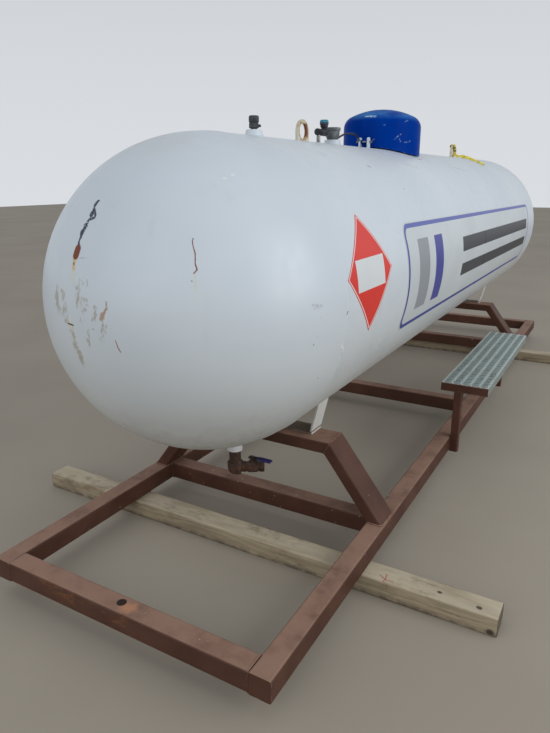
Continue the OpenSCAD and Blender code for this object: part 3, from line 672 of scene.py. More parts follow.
# %% [markdown]
# ## The vessel's skins
# The shell is rolled from two plates and the heads are pressed, so three welds run round the tank, each
# a low bead under the paint. A cylinder primitive has none. Here the radius is a function of x: the
# plain radius plus a narrow bell curve at each weld. The head is a quarter circle revolved about the
# tank's axis. Each skin has an inner wall too, so every piece is closed.

# %% Shell and heads
BEAD_HEIGHT, BEAD_WIDTH = 0.0016, 0.0055
MIDDLE_SEAM = 0.066
TANK_STEPS = 192


def shell_radius(x):
    """The tank's radius along x: plain, plus a bell curve of the bead's height at each round weld."""
    x = np.asarray(x, float)
    welds = sum(np.exp(-(((x - seam) / BEAD_WIDTH) ** 2)) for seam in (NEAR_SEAM, MIDDLE_SEAM, FAR_SEAM))
    return TANK_RADIUS + BEAD_HEIGHT * welds


def on_shell(x, angle, lift):
    """A point of the shell's outside: x along it, and an angle up from level on the step side, in radians."""
    x, angle = np.broadcast_arrays(np.asarray(x, float), np.asarray(angle, float))
    radius = shell_radius(x) + lift
    return np.stack([x, -radius * np.cos(angle), AXIS_Z + radius * np.sin(angle)], axis=-1)


def closed_skin(outer):
    """A profile along the axis: its outer line as (x, radius), closed by an inner line one wall inside."""
    inner = outer[::-1] - np.array((0.0, WALL))
    return np.concatenate([outer, inner, outer[:1]])


near_weld, middle_weld, far_weld = (seam + BEAD_WIDTH * np.linspace(-3, 3, 13)
                                    for seam in (NEAR_SEAM, MIDDLE_SEAM, FAR_SEAM))
stations = np.concatenate([near_weld[6:], np.linspace(NEAR_SEAM + 0.1, MIDDLE_SEAM - 0.1, 30), middle_weld,
                           np.linspace(MIDDLE_SEAM + 0.1, FAR_SEAM - 0.1, 30), far_weld[:7]])
shell_profile = closed_skin(np.stack([stations, shell_radius(stations)], axis=1))[:, ::-1]
axis_line = (0.0, 0.0, AXIS_Z)
make_piece("tank_shell_skin", [revolved(shell_profile, axis_line, (1, 0, 0), TANK_STEPS)], tank_paint,
           replaced=["tank_shell"])


def head_profile(seam, way):
    """A quarter circle from the pole to the seam, with half a weld bead at its foot."""
    sweep = np.concatenate([np.linspace(0, 82, 42), np.linspace(84, 90, 14)]) * np.pi / 180
    x = seam + way * TANK_RADIUS * np.cos(sweep)
    radius = TANK_RADIUS * np.sin(sweep) + BEAD_HEIGHT * np.exp(-(((x - seam) / BEAD_WIDTH) ** 2))
    outer = np.stack([radius, x], axis=1)
    quarter = np.stack([np.sin(sweep), way * np.cos(sweep)], axis=1)
    wall = (TANK_RADIUS - WALL) * quarter + np.array((0.0, seam))
    return np.concatenate([outer, wall[::-1]])


for node_name, seam, way in (("head_near", NEAR_SEAM, -1), ("head_far", FAR_SEAM, 1)):
    grid = looped(revolved(head_profile(seam, way), axis_line, (1, 0, 0), TANK_STEPS))
    make_piece(node_name + "_skin", [grid], tank_paint, replaced=[node_name])

# %% [markdown]
# ## Brown primer on the skid
# The skid is welded from rectangular tube and brushed with an oxide primer. On the real one the top
# faces have chalked and gathered dust, boots have worn the edges pale, and rust comes through. The
# top faces also carry a painted sheen of sky light. One colour with random spots would look the same
# on every face, so the chalky tops and their painted sheen ask which way a face looks, and the wear
# asks how close an edge is.


# %% Finish for carried-over nodes
def dress(material, *names):
    """Gives nodes of the plain model their finish."""
    for name in names:
        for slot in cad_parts[name].material_slots:
            slot.material = material


def mottled(tree, spot, scale, first, second):
    """Two near colours in soft clouds."""
    return blend(tree, clouds(tree, spot, scale, 5, 0.3, 0.7), first, second)


# %% Skid primer
end_low, end_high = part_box("end_tube_near")
PLUG = seen_on_plane((124.0, 600.5), 2, end_high.z)
PLUG[0] = (end_low.x + end_high.x) / 2 + 0.004
# A rust stain on the end tube's front face
STAIN = [seen_on_plane(pixel, 0, end_low.x) for pixel in ((48.0, 577.0), (112.0, 614.0))]


def skid_primer():
    """Oxide primer: mottled brown, chalky top faces with a painted sky sheen, grime, rust, pale worn edges
    and white specks.
    """
    material, tree, shader = new_material("skid_primer", roughness=0.62, Specular_IOR_Level=0.25)
    spot = place_of(tree)
    grime = clouds(tree, place_of(tree, (1, 1, 3)), 21, 6, 0.55, 0.76, 0.7)
    # Chalk and dust on faces that look up, together with a painted sheen of sky light on those faces.
    chalk_and_sky_sheen = times(tree, upward(tree, 0.6, 0.95), clouds(tree, spot, 9, 6, 0.05, 0.62, 0.6))
    rust = clouds(tree, spot, 33, 6, 0.66, 0.76, 0.7)
    edge = times(tree, worn_edges(tree, 0.005), clouds(tree, spot, 46, 5, 0.40, 0.60))
    cloud = vector(tree, "SUBTRACT", noise(tree, spot, 30, 4), (0.5, 0.5, 0.5))
    ragged = moved(tree, spot, cloud, (0.06, 0.06, 0.0))
    halo = stroke(tree, ragged, PLUG + (-0.006, -0.024, 0.0), PLUG + (-0.004, -0.046, 0.0), 0.030, 0.9)
    blot = clouds(tree, place_of(tree, (1, 0.5, 1.6)), 24, 5, 0.50, 0.62, 0.7)
    stretch = times(tree, stroke(tree, spot, STAIN[0], STAIN[1], 0.075, 0.5),
                    fade(tree, height_in(tree), end_high.z, end_high.z - 0.012))
    colour = veils(tree, mottled(tree, spot, 5, rgb(72, 44, 33), rgb(88, 58, 45)),
                   (grime, 0.45, rgb(52, 33, 28)), (chalk_and_sky_sheen, 0.74, rgb(164, 131, 113)),
                   (rust, 0.5, rgb(124, 68, 42)), (edge, 0.5, rgb(160, 132, 118)),
                   (specks(tree, spot, 16, 0.0050, 0.30), 0.9, rgb(206, 198, 190)),
                   (specks(tree, spot, 34, 0.0026, 0.22), 0.8, rgb(190, 178, 168)),
                   (halo, 0.8, rgb(186, 132, 100)), (times(tree, blot, stretch), 0.5, rgb(128, 84, 52)))
    paint(tree, shader, colour, blend_numbers(tree, rust, blend_numbers(tree, chalk_and_sky_sheen, 0.52, 0.82), 0.92))
    brushed = noise(tree, spot, 130, 4, 0.6)
    pits = times(tree, plus(tree, rust, fade(tree, edge, 0.2, 0.9)), -0.5)
    relief(tree, shader, plus(tree, brushed, pits), 0.0009)
    return material


primer = skid_primer()
SKID_NODES = [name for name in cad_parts
              if name.startswith(("runner", "end_tube", "cross_tube", "trestle", "step_end", "step_post"))]
dress(primer, *SKID_NODES)
print("primer on", len(SKID_NODES), "nodes, plug at", PLUG.round(3))

# %% [markdown]
# ## Weld beads
# Every joint of the skid shows a fillet weld, a row of small overlapping ripples. They could be bump in
# the paint, but a bead stands out against the light at the corners. So each is a thin rod that runs
# round the joint, and its radius swells once in each ripple.


# %% Beads on the skid
def joint_loop(centre, across, upwards, width, height, corner=0.009):
    """The outline of a tube's end: a rounded rectangle in the plane of two directions."""
    flat = rounded_rectangle(width, height, corner, 4)
    across, upwards = (np.asarray(v, float) / np.linalg.norm(v) for v in (across, upwards))
    return np.asarray(centre) + flat[:, :1] * across + flat[:, 1:] * upwards


TUBE_WIDTH = end_high.x - end_low.x
TUBE_HEIGHT = end_high.z - end_low.z
TUBE_MIDDLE = (end_low.z + end_high.z) / 2
skid_beads = []
for name in ("end_tube_near", "end_tube_far", "cross_tube_near", "cross_tube_mid", "cross_tube_far"):
    low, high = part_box(name)
    for y in (low.y, high.y):
        loop = joint_loop(((low.x + high.x) / 2, y, TUBE_MIDDLE), (1, 0, 0), (0, 0, 1), TUBE_WIDTH,
                          TUBE_HEIGHT)
        skid_beads.append(weld_bead(loop, 0.0024 if name == "end_tube_near" else 0.0032))
for end in ("near", "far"):
    top_low, top_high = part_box("trestle_top_" + end)
    middle_x, wide, deep = (top_low.x + top_high.x) / 2, top_high.x - top_low.x, top_high.z - top_low.z
    for side, way in (("step_side", -1), ("far_side", 1)):
        low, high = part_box(f"trestle_leg_{end}_{side}")
        knee = top_high.y
        foot = max(abs(low.y), abs(high.y))
        slope = math.atan2(foot - knee, top_high.z - low.z)
        cut = deep / math.cos(slope)
        loop = joint_loop((middle_x, way * (foot - cut / 2), low.z), (1, 0, 0), (0, 1, 0), wide, cut, 0.011)
        skid_beads.append(weld_bead(loop, 0.0042))
        back = deep * math.tan((math.pi / 2 - slope) / 2)
        mitre = np.array((0.0, way * back, deep))
        middle = (middle_x, way * (knee - back / 2), top_high.z - deep / 2)
        loop = joint_loop(middle, (1, 0, 0), mitre, wide, float(np.linalg.norm(mitre)), 0.010)
        skid_beads.append(weld_bead(loop, 0.0030))
for end in ("near", "far"):
    low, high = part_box("step_post_" + end)
    for x in (low.x, high.x):
        upright_line = [(x, high.y, z) for z in (end_low.z + 0.004, end_high.z - 0.003)]
        skid_beads.append(weld_bead(upright_line, 0.003, closed=False))
make_piece("skid_weld_beads", skid_beads, primer)

# %% Plug in the near end tube
rust_black, tree, shader = new_material("rust_black", roughness=0.7, metallic=0.3)
paint(tree, shader, mottled(tree, place_of(tree), 90, rgb(24, 20, 18), rgb(58, 38, 28)))
relief(tree, shader, noise(tree, place_of(tree), 300, 4), 0.0006)
washer = [(0.0, -0.002), (0.0155, -0.002), (0.0155, 0.0012), (0.0135, 0.0022), (0.0105, 0.0020),
          (0.0088, 0.0004), (0.0, 0.0004)]
make_piece("end_tube_plug", [revolved(washer, PLUG, steps=28)], rust_black)

# %% [markdown]
# ## Two sawn timbers
# The skid rests on two long sawn timbers, greyed on top, with dark end grain, knots and splits. A wood
# picture would stretch at the ends. Here the grain is solid: rings round a pith line that runs along
# the timber, so the long faces get long grain and the cut ends get arcs, as in the real wood. The
# faces themselves are a fine grid that is pushed in by noise, least in the middle and most at edges.


# %% Timber wood
def timber_wood(name, low, high, knots, lines):
    """Rings: the sine of the distance to the pith line, which noise bends slowly along the timber."""
    material, tree, shader = new_material(name, roughness=0.85)
    spot = place_of(tree)
    bend = noise(tree, place_of(tree, (3.0, 0.7, 3.0)), 1.6, 3)
    pith = ((low.x + high.x) / 2 + 0.016, 0.0, low.z - 0.020)
    across = vector(tree, "MULTIPLY", vector(tree, "SUBTRACT", spot, pith), (1, 0, 1))
    radius = plus(tree, vector(tree, "LENGTH", across, out=1), times(tree, bend, 0.05))
    uneven = times(tree, noise(tree, place_of(tree, (1, 0.12, 1)), 30, 3), 14.0)
    waves = calc(tree, "SINE", plus(tree, times(tree, radius, 380), uneven))
    rings = times(tree, plus(tree, waves, 1), 0.5)
    fibre = noise(tree, place_of(tree, (1, 0.03, 1)), 260, 5, 0.65)
    stains = clouds(tree, place_of(tree, (1, 0.35, 1)), 9, 5, 0.42, 0.74)
    grey = times(tree, upward(tree, 0.5, 0.95), clouds(tree, place_of(tree, (1, 0.2, 1)), 14, 5, 0.2, 0.6))
    smears = clouds(tree, place_of(tree, (1, 0.5, 1)), 7, 6, 0.52, 0.68, 0.7)
    small_cracks = clouds(tree, place_of(tree, (1, 0.06, 1)), 120, 4, 0.35, 0.30, 0.7)
    crack = noise(tree, place_of(tree, (1, 0.022, 1)), 46, 6, 0.75)
    crack = times(tree, fade(tree, crack, 0.38, 0.33), clouds(tree, spot, 3.3, 3, 0.38, 0.50))
    y = axis_of(tree, spot, 1)
    cut = larger(tree, fade(tree, y, low.y + 0.003, low.y + 0.001),
                 fade(tree, y, high.y - 0.003, high.y - 0.001))
    soil = times(tree, fade(tree, height_in(tree), 0.030, 0.004), clouds(tree, spot, 24, 5, 0.35, 0.65))
    shake = moved(tree, spot, noise(tree, spot, 40, 3), (0.012, 0.012, 0.0))
    dark_knots = [(stroke(tree, shake, place, place + (0.0, 0.004, 0.0), size, 0.5), 0.85, rgb(44, 33, 26))
                  for place, size in knots]
    red_lines = [(strokes(tree, shake, line, [0.0035] * 2, 0.6), 0.75, rgb(168, 84, 72)) for line in lines]
    colour = veils(tree, blend(tree, rings, rgb(176, 161, 134), rgb(162, 147, 121)),
                   (fade(tree, fibre, 0.40, 0.70), 0.55, rgb(126, 109, 88)),
                   (stains, 0.6, rgb(116, 106, 88)), (grey, 0.72, rgb(200, 188, 164)),
                   (smears, 0.62, rgb(104, 86, 64)), (small_cracks, 0.6, rgb(84, 70, 56)),
                   (specks(tree, spot, 34, 0.0028, 0.14), 0.7, rgb(60, 48, 38)),
                   (crack, 0.85, rgb(48, 38, 28)), (cut, 0.78, rgb(58, 46, 36)),
                   (soil, 0.75, rgb(84, 76, 68)), *dark_knots, *red_lines)
    paint(tree, shader, colour)
    height = plus(tree, times(tree, fibre, 0.6), times(tree, rings, 0.25))
    relief(tree, shader, minus(tree, height, times(tree, crack, 1.6)), 0.0022)
    return material


# %% Timber bodies
def on_timber(pixel, low, high):
    """Where a pixel's line of sight meets a timber: its top, or else its near face."""
    top = seen_on_plane(pixel, 2, high.z)
    return top if low.x <= top[0] <= high.x else seen_on_plane(pixel, 0, low.x)


TIMBER_ROWS, TIMBER_STEP, END_BEVEL, END_ROUGHNESS = 170, 0.006, 0.003, 0.0006
END_RINGS = np.array((0.0, 0.35, 0.7, 0.93, 0.985))    # shares of the section's size


def timber_grid(low, high, seed):
    """A rounded section carried along y. Each point moves in by noise, and the ends close in rings."""
    width, height = high.x - low.x, high.z - low.z
    section = looped(even_steps(rounded_rectangle(width, height, TIMBER_STEP, 4), TIMBER_STEP))
    y = np.linspace(low.y + END_BEVEL, high.y - END_BEVEL, TIMBER_ROWS)
    y = np.concatenate([np.full(len(END_RINGS), low.y), y, np.full(len(END_RINGS), high.y)])
    shrink = np.concatenate([END_RINGS, np.ones(TIMBER_ROWS), END_RINGS[::-1]])
    local = section[None] * shrink[:, None, None]
    places = np.stack([local[..., 0], np.broadcast_to(y[:, None], local.shape[:2]), local[..., 1]], axis=-1)
    push = 0.5 + 0.5 * smooth_noise(places * (1, 0.35, 1), 34, seed)
    corner = (np.abs(section[:, 0]) / width + np.abs(section[:, 1]) / height)[None] ** 6
    local = local * (1 - push[..., None] * (0.010 + 0.022 * corner[..., None]))
    in_rings = np.where((shrink < 1) & (shrink > 0), 1.0, 0.0)[:, None]
    rough_end = in_rings * smooth_noise(places, 160, seed + 1) * END_ROUGHNESS
    middle = np.array(((low.x + high.x) / 2, 0.0, (low.z + high.z) / 2))
    return middle + np.stack([local[..., 0], places[..., 1] - np.sign(y)[:, None] * np.abs(rough_end),
                              local[..., 1]], axis=-1)


# Knots on the near timber, by pixel and radius, and a crossed red stroke of chalk by its pixels
KNOTS = (((439.0, 591.0), 0.008), ((478.6, 606.4), 0.010), ((457.0, 616.0), 0.007), ((412.7, 606.0), 0.006),
         ((488.5, 631.8), 0.016))
RED_LINES = (((379.0, 573.5), (385.0, 578.5), (392.0, 580.5)),
             ((386.0, 573.0), (384.5, 577.0), (381.0, 580.0)))
for name, seed in (("timber_near", 3), ("timber_far", 8)):
    low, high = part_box(name)
    knots, lines = [], []
    if name == "timber_near":
        knots = [(on_timber(pixel, low, high), size) for pixel, size in KNOTS]
        lines = [[on_timber(pixel, low, high) for pixel in line] for line in RED_LINES]
    wood = timber_wood(name + "_wood", low, high, knots, lines)
    make_piece(name + "_sawn", [timber_grid(low, high, seed)], wood, replaced=[name],
               crease=50)

# %% [markdown]
# ## The galvanized step
# The plank is one folded sheet with raised ribs and rows of punched openings that give grip. The plain
# model has its true shape, so it stays and gets a zinc finish: a cell pattern gives each patch of
# spangle its own grey. What it lacks is the small turned-up collar round each opening, which is what
# catches the light, so those are made as rings, each with only a few dozen faces.


# %% Zinc
plank_low, plank_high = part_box("step_plank")
OPENINGS, ROWS, PITCH, RIB_HEIGHT, SHEET = 23, 5, 0.050, 0.004, 0.003
row_pitch = (plank_high.y - plank_low.y - 2 * SHEET) / ROWS


def zinc_coat():
    """Zinc: flat crystals of different grey, soil in the hollows, and a scalloped painted highlight along
    each rib.
    """
    material, tree, shader = new_material("zinc_coat", roughness=0.42, metallic=0.75)
    spot = place_of(tree)
    cells = tree.nodes.new("ShaderNodeTexVoronoi")
    feed(tree, cells.inputs["Vector"], spot)
    cells.inputs["Scale"].default_value = 120
    tone = axis_of(tree, cells.outputs["Color"], 0)    # one random number for each crystal
    x, y = (axis_of(tree, spot, k) for k in (0, 1))
    # Painted highlight: a bright scalloped band along the top of each rib, on faces that look up.
    row = calc(tree, "DIVIDE", minus(tree, y, plank_low.y + SHEET), row_pitch)
    off_rib = times(tree, calc(tree, "ABSOLUTE", minus(tree, row, calc(tree, "ROUND", row))), row_pitch)
    scallop = times(tree, calc(tree, "COSINE", times(tree, x, 2 * math.pi / PITCH)), -0.004)
    painted_rib_highlight = times(tree, fade(tree, plus(tree, off_rib, scallop), 0.011, 0.006), upward(tree, 0.3, 0.8))
    soil = clouds(tree, place_of(tree, (0.4, 1, 1)), 12, 5, 0.54, 0.74)
    colour = veils(tree, blend(tree, tone, rgb(146, 159, 157), rgb(170, 183, 179)),
                   (clouds(tree, spot, 26, 6, 0.50, 0.78, 0.7), 0.7, rgb(108, 110, 106)),
                   (painted_rib_highlight, 0.85, rgb(214, 224, 220)), (soil, 0.45, rgb(124, 110, 92)),
                   (worn_edges(tree, 0.002), 0.35, rgb(206, 212, 210)))
    paint(tree, shader, colour, blend_numbers(tree, tone, 0.38, 0.54))
    relief(tree, shader, noise(tree, spot, 240, 3), 0.0003)
    return material


zinc = zinc_coat()
dress(zinc, "step_plank")
print("zinc on the plank,", OPENINGS * ROWS, "openings")

# %% Collars round the openings
OPENING_WIDTH, OPENING_LENGTH, OPENING_CORNER = 0.016, 0.028, 0.0035
# The collar's section: how far outside the opening's edge, and how high above the face
COLLAR_LEVELS = [(0.0022, 0.0002), (0.0012, 0.0026), (0.0002, 0.0032), (-0.0008, 0.0026), (-0.0012, 0.0004),
                 (-0.0012, -0.0034), (0.0010, -0.0034), (0.0022, 0.0002)]
face_z = plank_high.z - RIB_HEIGHT
rings = []
for grow, z in COLLAR_LEVELS:
    width, length = OPENING_WIDTH + 2 * grow, OPENING_LENGTH + 2 * grow
    flat = looped(rounded_rectangle(width, length, OPENING_CORNER + grow, 3))
    rings.append(np.column_stack([flat, np.full(len(flat), face_z + z)]))
collar = np.stack(rings)
middles = [((i - (OPENINGS - 1) / 2) * PITCH, plank_low.y + SHEET + (j + 0.5) * row_pitch, 0.0)
           for i in range(OPENINGS) for j in range(ROWS)]
make_piece("step_grip_collars", [collar + np.array(place) for place in middles], zinc)

# %% [markdown]
# ## Fittings along the crown
# From the near end the crown carries a small relief device on a tapered pad, an eye plate for
# lifting, a level valve with a teal cap and a bowl-shaped relief valve that a thin hose joins to the
# hood's hinge. Castings have rounded rims, grooves and drafted walls, so their profiles are
# lists of points that are revolved, and only the hexagons are prisms.


# %% Dark castings and other small finishes
def casting(name, dark, light, rust, metallic=0.35, roughness=0.6, rust_share=0.60, dust=0.45):
    """Cast metal: mottled, rusty in patches, dusty on top, paler on its edges."""
    material, tree, shader = new_material(name, roughness=roughness, metallic=metallic)
    spot = place_of(tree)
    patches = clouds(tree, spot, 75, 5, rust_share, rust_share + 0.12, 0.65)
    top_dust = times(tree, upward(tree, 0.5, 0.95), clouds(tree, spot, 60, 4, 0.3, 0.6))
    colour = veils(tree, mottled(tree, spot, 38, dark, light), (patches, 0.75, rust),
                   (top_dust, dust, rgb(138, 134, 126)), (worn_edges(tree, 0.0015), 0.35, light))
    paint(tree, shader, colour, blend_numbers(tree, patches, roughness, 0.88))
    relief(tree, shader, noise(tree, spot, 420, 3), 0.0004)
    return material


dark_casting = casting("dark_casting", rgb(44, 47, 50), rgb(74, 78, 80), rgb(92, 70, 56))
bowl_casting = casting("bowl_casting", rgb(80, 84, 88), rgb(116, 120, 122), rgb(104, 92, 80))
black_body = casting("black_body", rgb(17, 18, 24), rgb(34, 36, 44), rgb(46, 44, 44), metallic=0.1,
                     roughness=0.5, dust=0.25)
bare_steel = casting("bare_steel", rgb(118, 118, 116), rgb(158, 158, 156), rgb(120, 84, 58), metallic=0.8,
                     roughness=0.42, dust=0.2)
rusty_steel = casting("rusty_steel", rgb(44, 30, 24), rgb(72, 50, 38), rgb(98, 58, 36), metallic=0.15,
                      roughness=0.75, rust_share=0.50, dust=0.2)
brass = casting("brass_fitting", rgb(150, 116, 58), rgb(186, 150, 84), rgb(108, 84, 50), metallic=0.85,
                roughness=0.38, dust=0.15)
gauge_metal = casting("gauge_metal", rgb(140, 142, 142), rgb(176, 178, 178), rgb(120, 112, 100), metallic=0.7,
                      roughness=0.45, dust=0.2)
print("small finishes ready")

# %% Relief device on its tapered pad
pad_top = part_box("relief_coupling")[1].z
device_low, device_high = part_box("relief_device")
device = np.array(((device_low.x + device_high.x) / 2, 0.0, pad_top))
top = device_high.z - pad_top
neck = [(0, 0), (0.0128, 0), (0.0128, 0.0020), (0.0118, 0.0030), (0.0118, 0.0060), (0, 0.0060)]
cap = [(0, 0.0205), (0.0160, 0.0205), (0.0160, 0.0240), (0.0172, 0.0248), (0.0182, 0.0265), (0.0180, 0.0330),
       (0.0186, 0.0345), (0.0186, 0.0372), (0.0180, 0.0388), (0.0180, top - 0.0040), (0.0166, top - 0.0010),
       (0.0140, top), (0, top)]
make_piece("relief_device_body",
           [revolved(neck, device), prism(device + (0, 0, 0.0055), hexagon(0.0395), 0.0155, chamfer=0.0012),
            revolved(cap, device),
            prism(device + (0.0080, -0.0139, 0.0130), hexagon(0.0100), 0.0090, (0.5, -0.866, 0.0))],
           dark_casting, replaced=["relief_device"])

# %% Bowl-shaped relief valve
ring_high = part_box("bowl_coupling_ring")[1].z
bowl_low, bowl_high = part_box("bowl_relief_valve")
bowl = np.array((bowl_low.x + (bowl_high.y - bowl_low.y) / 2, 0.0, ring_high))
lip = bowl_high.z - ring_high
bowl_outline = [(0, 0), (0.0240, 0), (0.0246, 0.0030), (0.0256, 0.0065), (0.0290, 0.0120), (0.0302, 0.0165),
                (0.0305, 0.0260), (0.0315, 0.0268), (0.0315, 0.0292), (0.0306, 0.0300), (0.0312, 0.0365),
                (0.0338, 0.0392), (0.0350, 0.0408), (0.0350, lip - 0.0020), (0.0343, lip), (0.0322, lip),
                (0.0312, lip - 0.0025), (0.0290, 0.0330), (0.0220, 0.0215), (0.0070, 0.0205),
                (0.0064, 0.0400), (0.0040, 0.0418), (0, 0.0418)]
port_z = ring_high + 0.010
bowl_parts = [revolved(bowl_outline, bowl, steps=64)]
port_mouth = np.array((bowl_high.x, 0.0, port_z))
port = [(0, -0.014), (0.0070, -0.014), (0.0070, -0.0030), (0.0062, -0.0010), (0.0062, 0.0), (0, 0.0)]
bowl_parts.append(revolved(port, port_mouth, (1, 0, 0), 24))
bowl_parts.append(prism(port_mouth - (0.0085, 0, 0), hexagon(0.0165), 0.0050, (1, 0, 0)))
for turn in np.radians(np.arange(0, 360, 60) + 20):
    seat = bowl + (0.0262 * math.cos(turn), 0.0262 * math.sin(turn), 0.0300)
    bowl_parts.append(prism(seat, hexagon(0.0070), 0.0050, chamfer=0.0006))
make_piece("bowl_relief_body", bowl_parts, bowl_casting, replaced=["bowl_relief_valve"])

# %% Level valve and its teal cap
body_low, body_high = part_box("capped_valve_body")
teal_low, teal_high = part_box("capped_valve_cap")
neck_x = (teal_low.x + teal_high.x) / 2
body_radius = (body_high.y - body_low.y) / 2.4
body_z = body_low.z + body_radius
length = body_high.x - body_low.x
spool = [(0, 0), (0.010, 0), (body_radius - 0.001, 0.002), (body_radius, 0.004), (body_radius, 0.016),
         (body_radius * 0.82, 0.018), (body_radius * 0.82, 0.026), (body_radius, 0.028),
         (body_radius, length - 0.004), (body_radius - 0.001, length - 0.001), (0, length)]
collar_top = teal_low.z - body_z
neck = [(0, 0), (0.0118, 0), (0.0118, collar_top * 0.55), (0.0132, collar_top * 0.62),
        (0.0164, collar_top * 0.74), (0.0168, collar_top * 0.80), (0.0168, collar_top - 0.001),
        (0.0160, collar_top), (0, collar_top)]
wing = np.array([(-0.012, -0.004), (-0.004, -0.0015), (0.004, -0.0015), (0.012, -0.004), (0.014, 0.0),
                 (0.012, 0.004), (0.004, 0.0015), (-0.004, 0.0015), (-0.012, 0.004), (-0.014, 0.0)])
make_piece("level_valve_body", [
    revolved(spool, (body_low.x, 0, body_z), (1, 0, 0), 40), revolved(neck, (neck_x, 0, body_z), steps=40),
    prism((body_low.x + 0.0295, 0, body_z), hexagon(0.0315), 0.009, (1, 0, 0), 0.001),
    prism((body_low.x + 0.012, -body_radius + 0.002, body_z), wing, 0.0085, (0.0, -1.0, 0.0), 0.0005),
], black_body, replaced=["capped_valve_body"])


CAP_RIBS, RIB_DEPTH = 26, 0.0011


def ribbed_cap(base, radius, height):
    """A cap whose radius has a cosine ripple round it for the grip ribs, which fade at top and bottom."""
    turn = np.linspace(0, 2 * np.pi, CAP_RIBS * 6 + 1)
    levels = np.array([(0, 0, 0), (radius - 0.001, 0, 0), (radius, 0.001, 0.4), (radius, height * 0.4, 1),
                       (radius, height * 0.72, 1), (radius - 0.0012, height * 0.86, 0.4),
                       (radius - 0.004, height, 0), (radius - 0.010, height - 0.0005, 0),
                       (0, height - 0.0005, 0)])
    wide = levels[:, :1] - RIB_DEPTH * levels[:, 2:] * (0.5 - 0.5 * np.cos(CAP_RIBS * turn))
    return np.asarray(base) + np.stack([wide * np.cos(turn), wide * np.sin(turn),
                                        np.broadcast_to(levels[:, 1:2], wide.shape)], axis=-1)


teal, tree, shader = new_material("teal_cap_plastic", roughness=0.42)
below = fade(tree, height_in(tree), teal_low.z + 0.011, teal_low.z + 0.008)
# Faces that look up are painted paler teal, as a painted sheen of sky light.
paint(tree, shader, veils(tree, mottled(tree, place_of(tree), 60, rgb(22, 112, 138), rgb(34, 134, 158)),
                          (upward(tree, 0.4, 0.9), 0.35, rgb(96, 150, 164)), (below, 0.93, rgb(16, 16, 38))))
relief(tree, shader, noise(tree, place_of(tree), 350, 3), 0.0003)
make_piece("level_valve_cap",
           [ribbed_cap((neck_x, 0, teal_low.z), (teal_high.x - teal_low.x) / 2, teal_high.z - teal_low.z)],
           teal, replaced=["capped_valve_cap"])

# %% [markdown]
# ## The thin black hose
# A stiff hose leaves the bowl's side, arches over and ends at the hinge, on the hood's near side. The plain
# model has it as straight-sided rings through listed points. The same points carry a cubic curve here,
# so the hose bends evenly, and a round outline is swept along it.

# %% Vent hose
HOSE_LINE = np.array([(-850.5, 0, 30), (-838, 0, 30.5), (-818, 2, 34), (-796, 4, 40), (-772, 6, 46),
                      (-748, 8, 51), (-722, 10, 55), (-696, 12, 58), (-670, 14, 60), (-644, 16, 61.5),
                      (-618, 17, 62), (-594, 18.5, 61), (-572, 20, 58.5), (-556, 21, 55), (-543, 22, 50.5),
                      (-533, 23, 45), (-526, 24, 40.5), (-520.5, 24, 37.5)]) / 1000
HOSE_LINE[:, 2] += CROWN_Z
HOSE_DIAMETER = 0.009
hose_curve = smooth_path(HOSE_LINE, 5)
rubber, tree, shader = new_material("hose_rubber", roughness=0.55)
# Faces that look up are painted lighter grey, as a painted sheen of sky light on the black rubber.
paint(tree, shader, veils(tree, mottled(tree, place_of(tree), 45, rgb(14, 15, 22), rgb(30, 31, 38)),
                          (upward(tree, 0.3, 1.0), 0.35, rgb(84, 86, 92))))
relief(tree, shader, noise(tree, place_of(tree), 500, 2), 0.0002)
ferrule = [(0, -0.001), (0.0066, -0.001), (0.0066, 0.012), (0.0056, 0.0135), (0, 0.0135)]
hose_tube = make_piece("vent_hose_tube", [swept(hose_curve, round_outline(HOSE_DIAMETER / 2, 14))], rubber,
                       replaced=["vent_hose"])
hose_ends = make_piece("hose_ferrules",
                       [revolved(ferrule, HOSE_LINE[0], (1, 0, 0.02), 20),
                        revolved(ferrule, HOSE_LINE[-1], HOSE_LINE[-2] - HOSE_LINE[-1], 20)], bare_steel)

# %% [markdown]
# ## Lifting eyes
# Each eye plate is cut from thick plate with a round top and a large hole. Its paint has yellowed, and rust
# runs from the hole, most on the side away from the near end. The plate is one ring: an outline and the
# hole are seen from the hole's middle, and a small chamfered section goes round between them.


# %% Eye plates
def eye_rust():
    """Yellowed white paint, bare and rusty round each hole by the distance to the hole's middle."""
    material, tree, shader = new_material("eye_plate_paint", roughness=0.55)
    spot = place_of(tree)
    ragged = noise(tree, spot, 70, 5, 0.65)
    masks = []
    for name in ("lifting_lug_near", "lifting_lug_far"):
        low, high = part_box(name)
        hole = ((low.x + high.x) / 2 - 0.006, 0.0, CROWN_Z + 0.040)
        away = vector(tree, "MULTIPLY", vector(tree, "SUBTRACT", spot, hole), (1, 0, 1))
        masks.append(fade(tree, vector(tree, "LENGTH", away, out=1), 0.062, 0.034))
    near_hole = larger(tree, *masks)
    x = axis_of(tree, spot, 0)
    far_side = times(tree, fade(tree, x, -1.178, -1.140), fade(tree, x, 0.0, -0.1))
    share = plus(tree, times(tree, near_hole, 0.72), times(tree, far_side, 0.42))
    tan = fade(tree, plus(tree, share, ragged), 1.02, 1.28)
    rust = fade(tree, plus(tree, share, ragged), 1.24, 1.44)
    colour = veils(tree, mottled(tree, spot, 22, rgb(192, 192, 174), rgb(206, 204, 186)),
                   (tan, 0.8, rgb(182, 146, 96)), (rust, 0.9, rgb(112, 56, 40)),
                   (times(tree, worn_edges(tree, 0.002), ragged), 0.8, rgb(140, 110, 76)))
    paint(tree, shader, colour, blend_numbers(tree, rust, 0.45, 0.9))
    relief(tree, shader, minus(tree, noise(tree, spot, 260, 3), rust), 0.0006)
    return material


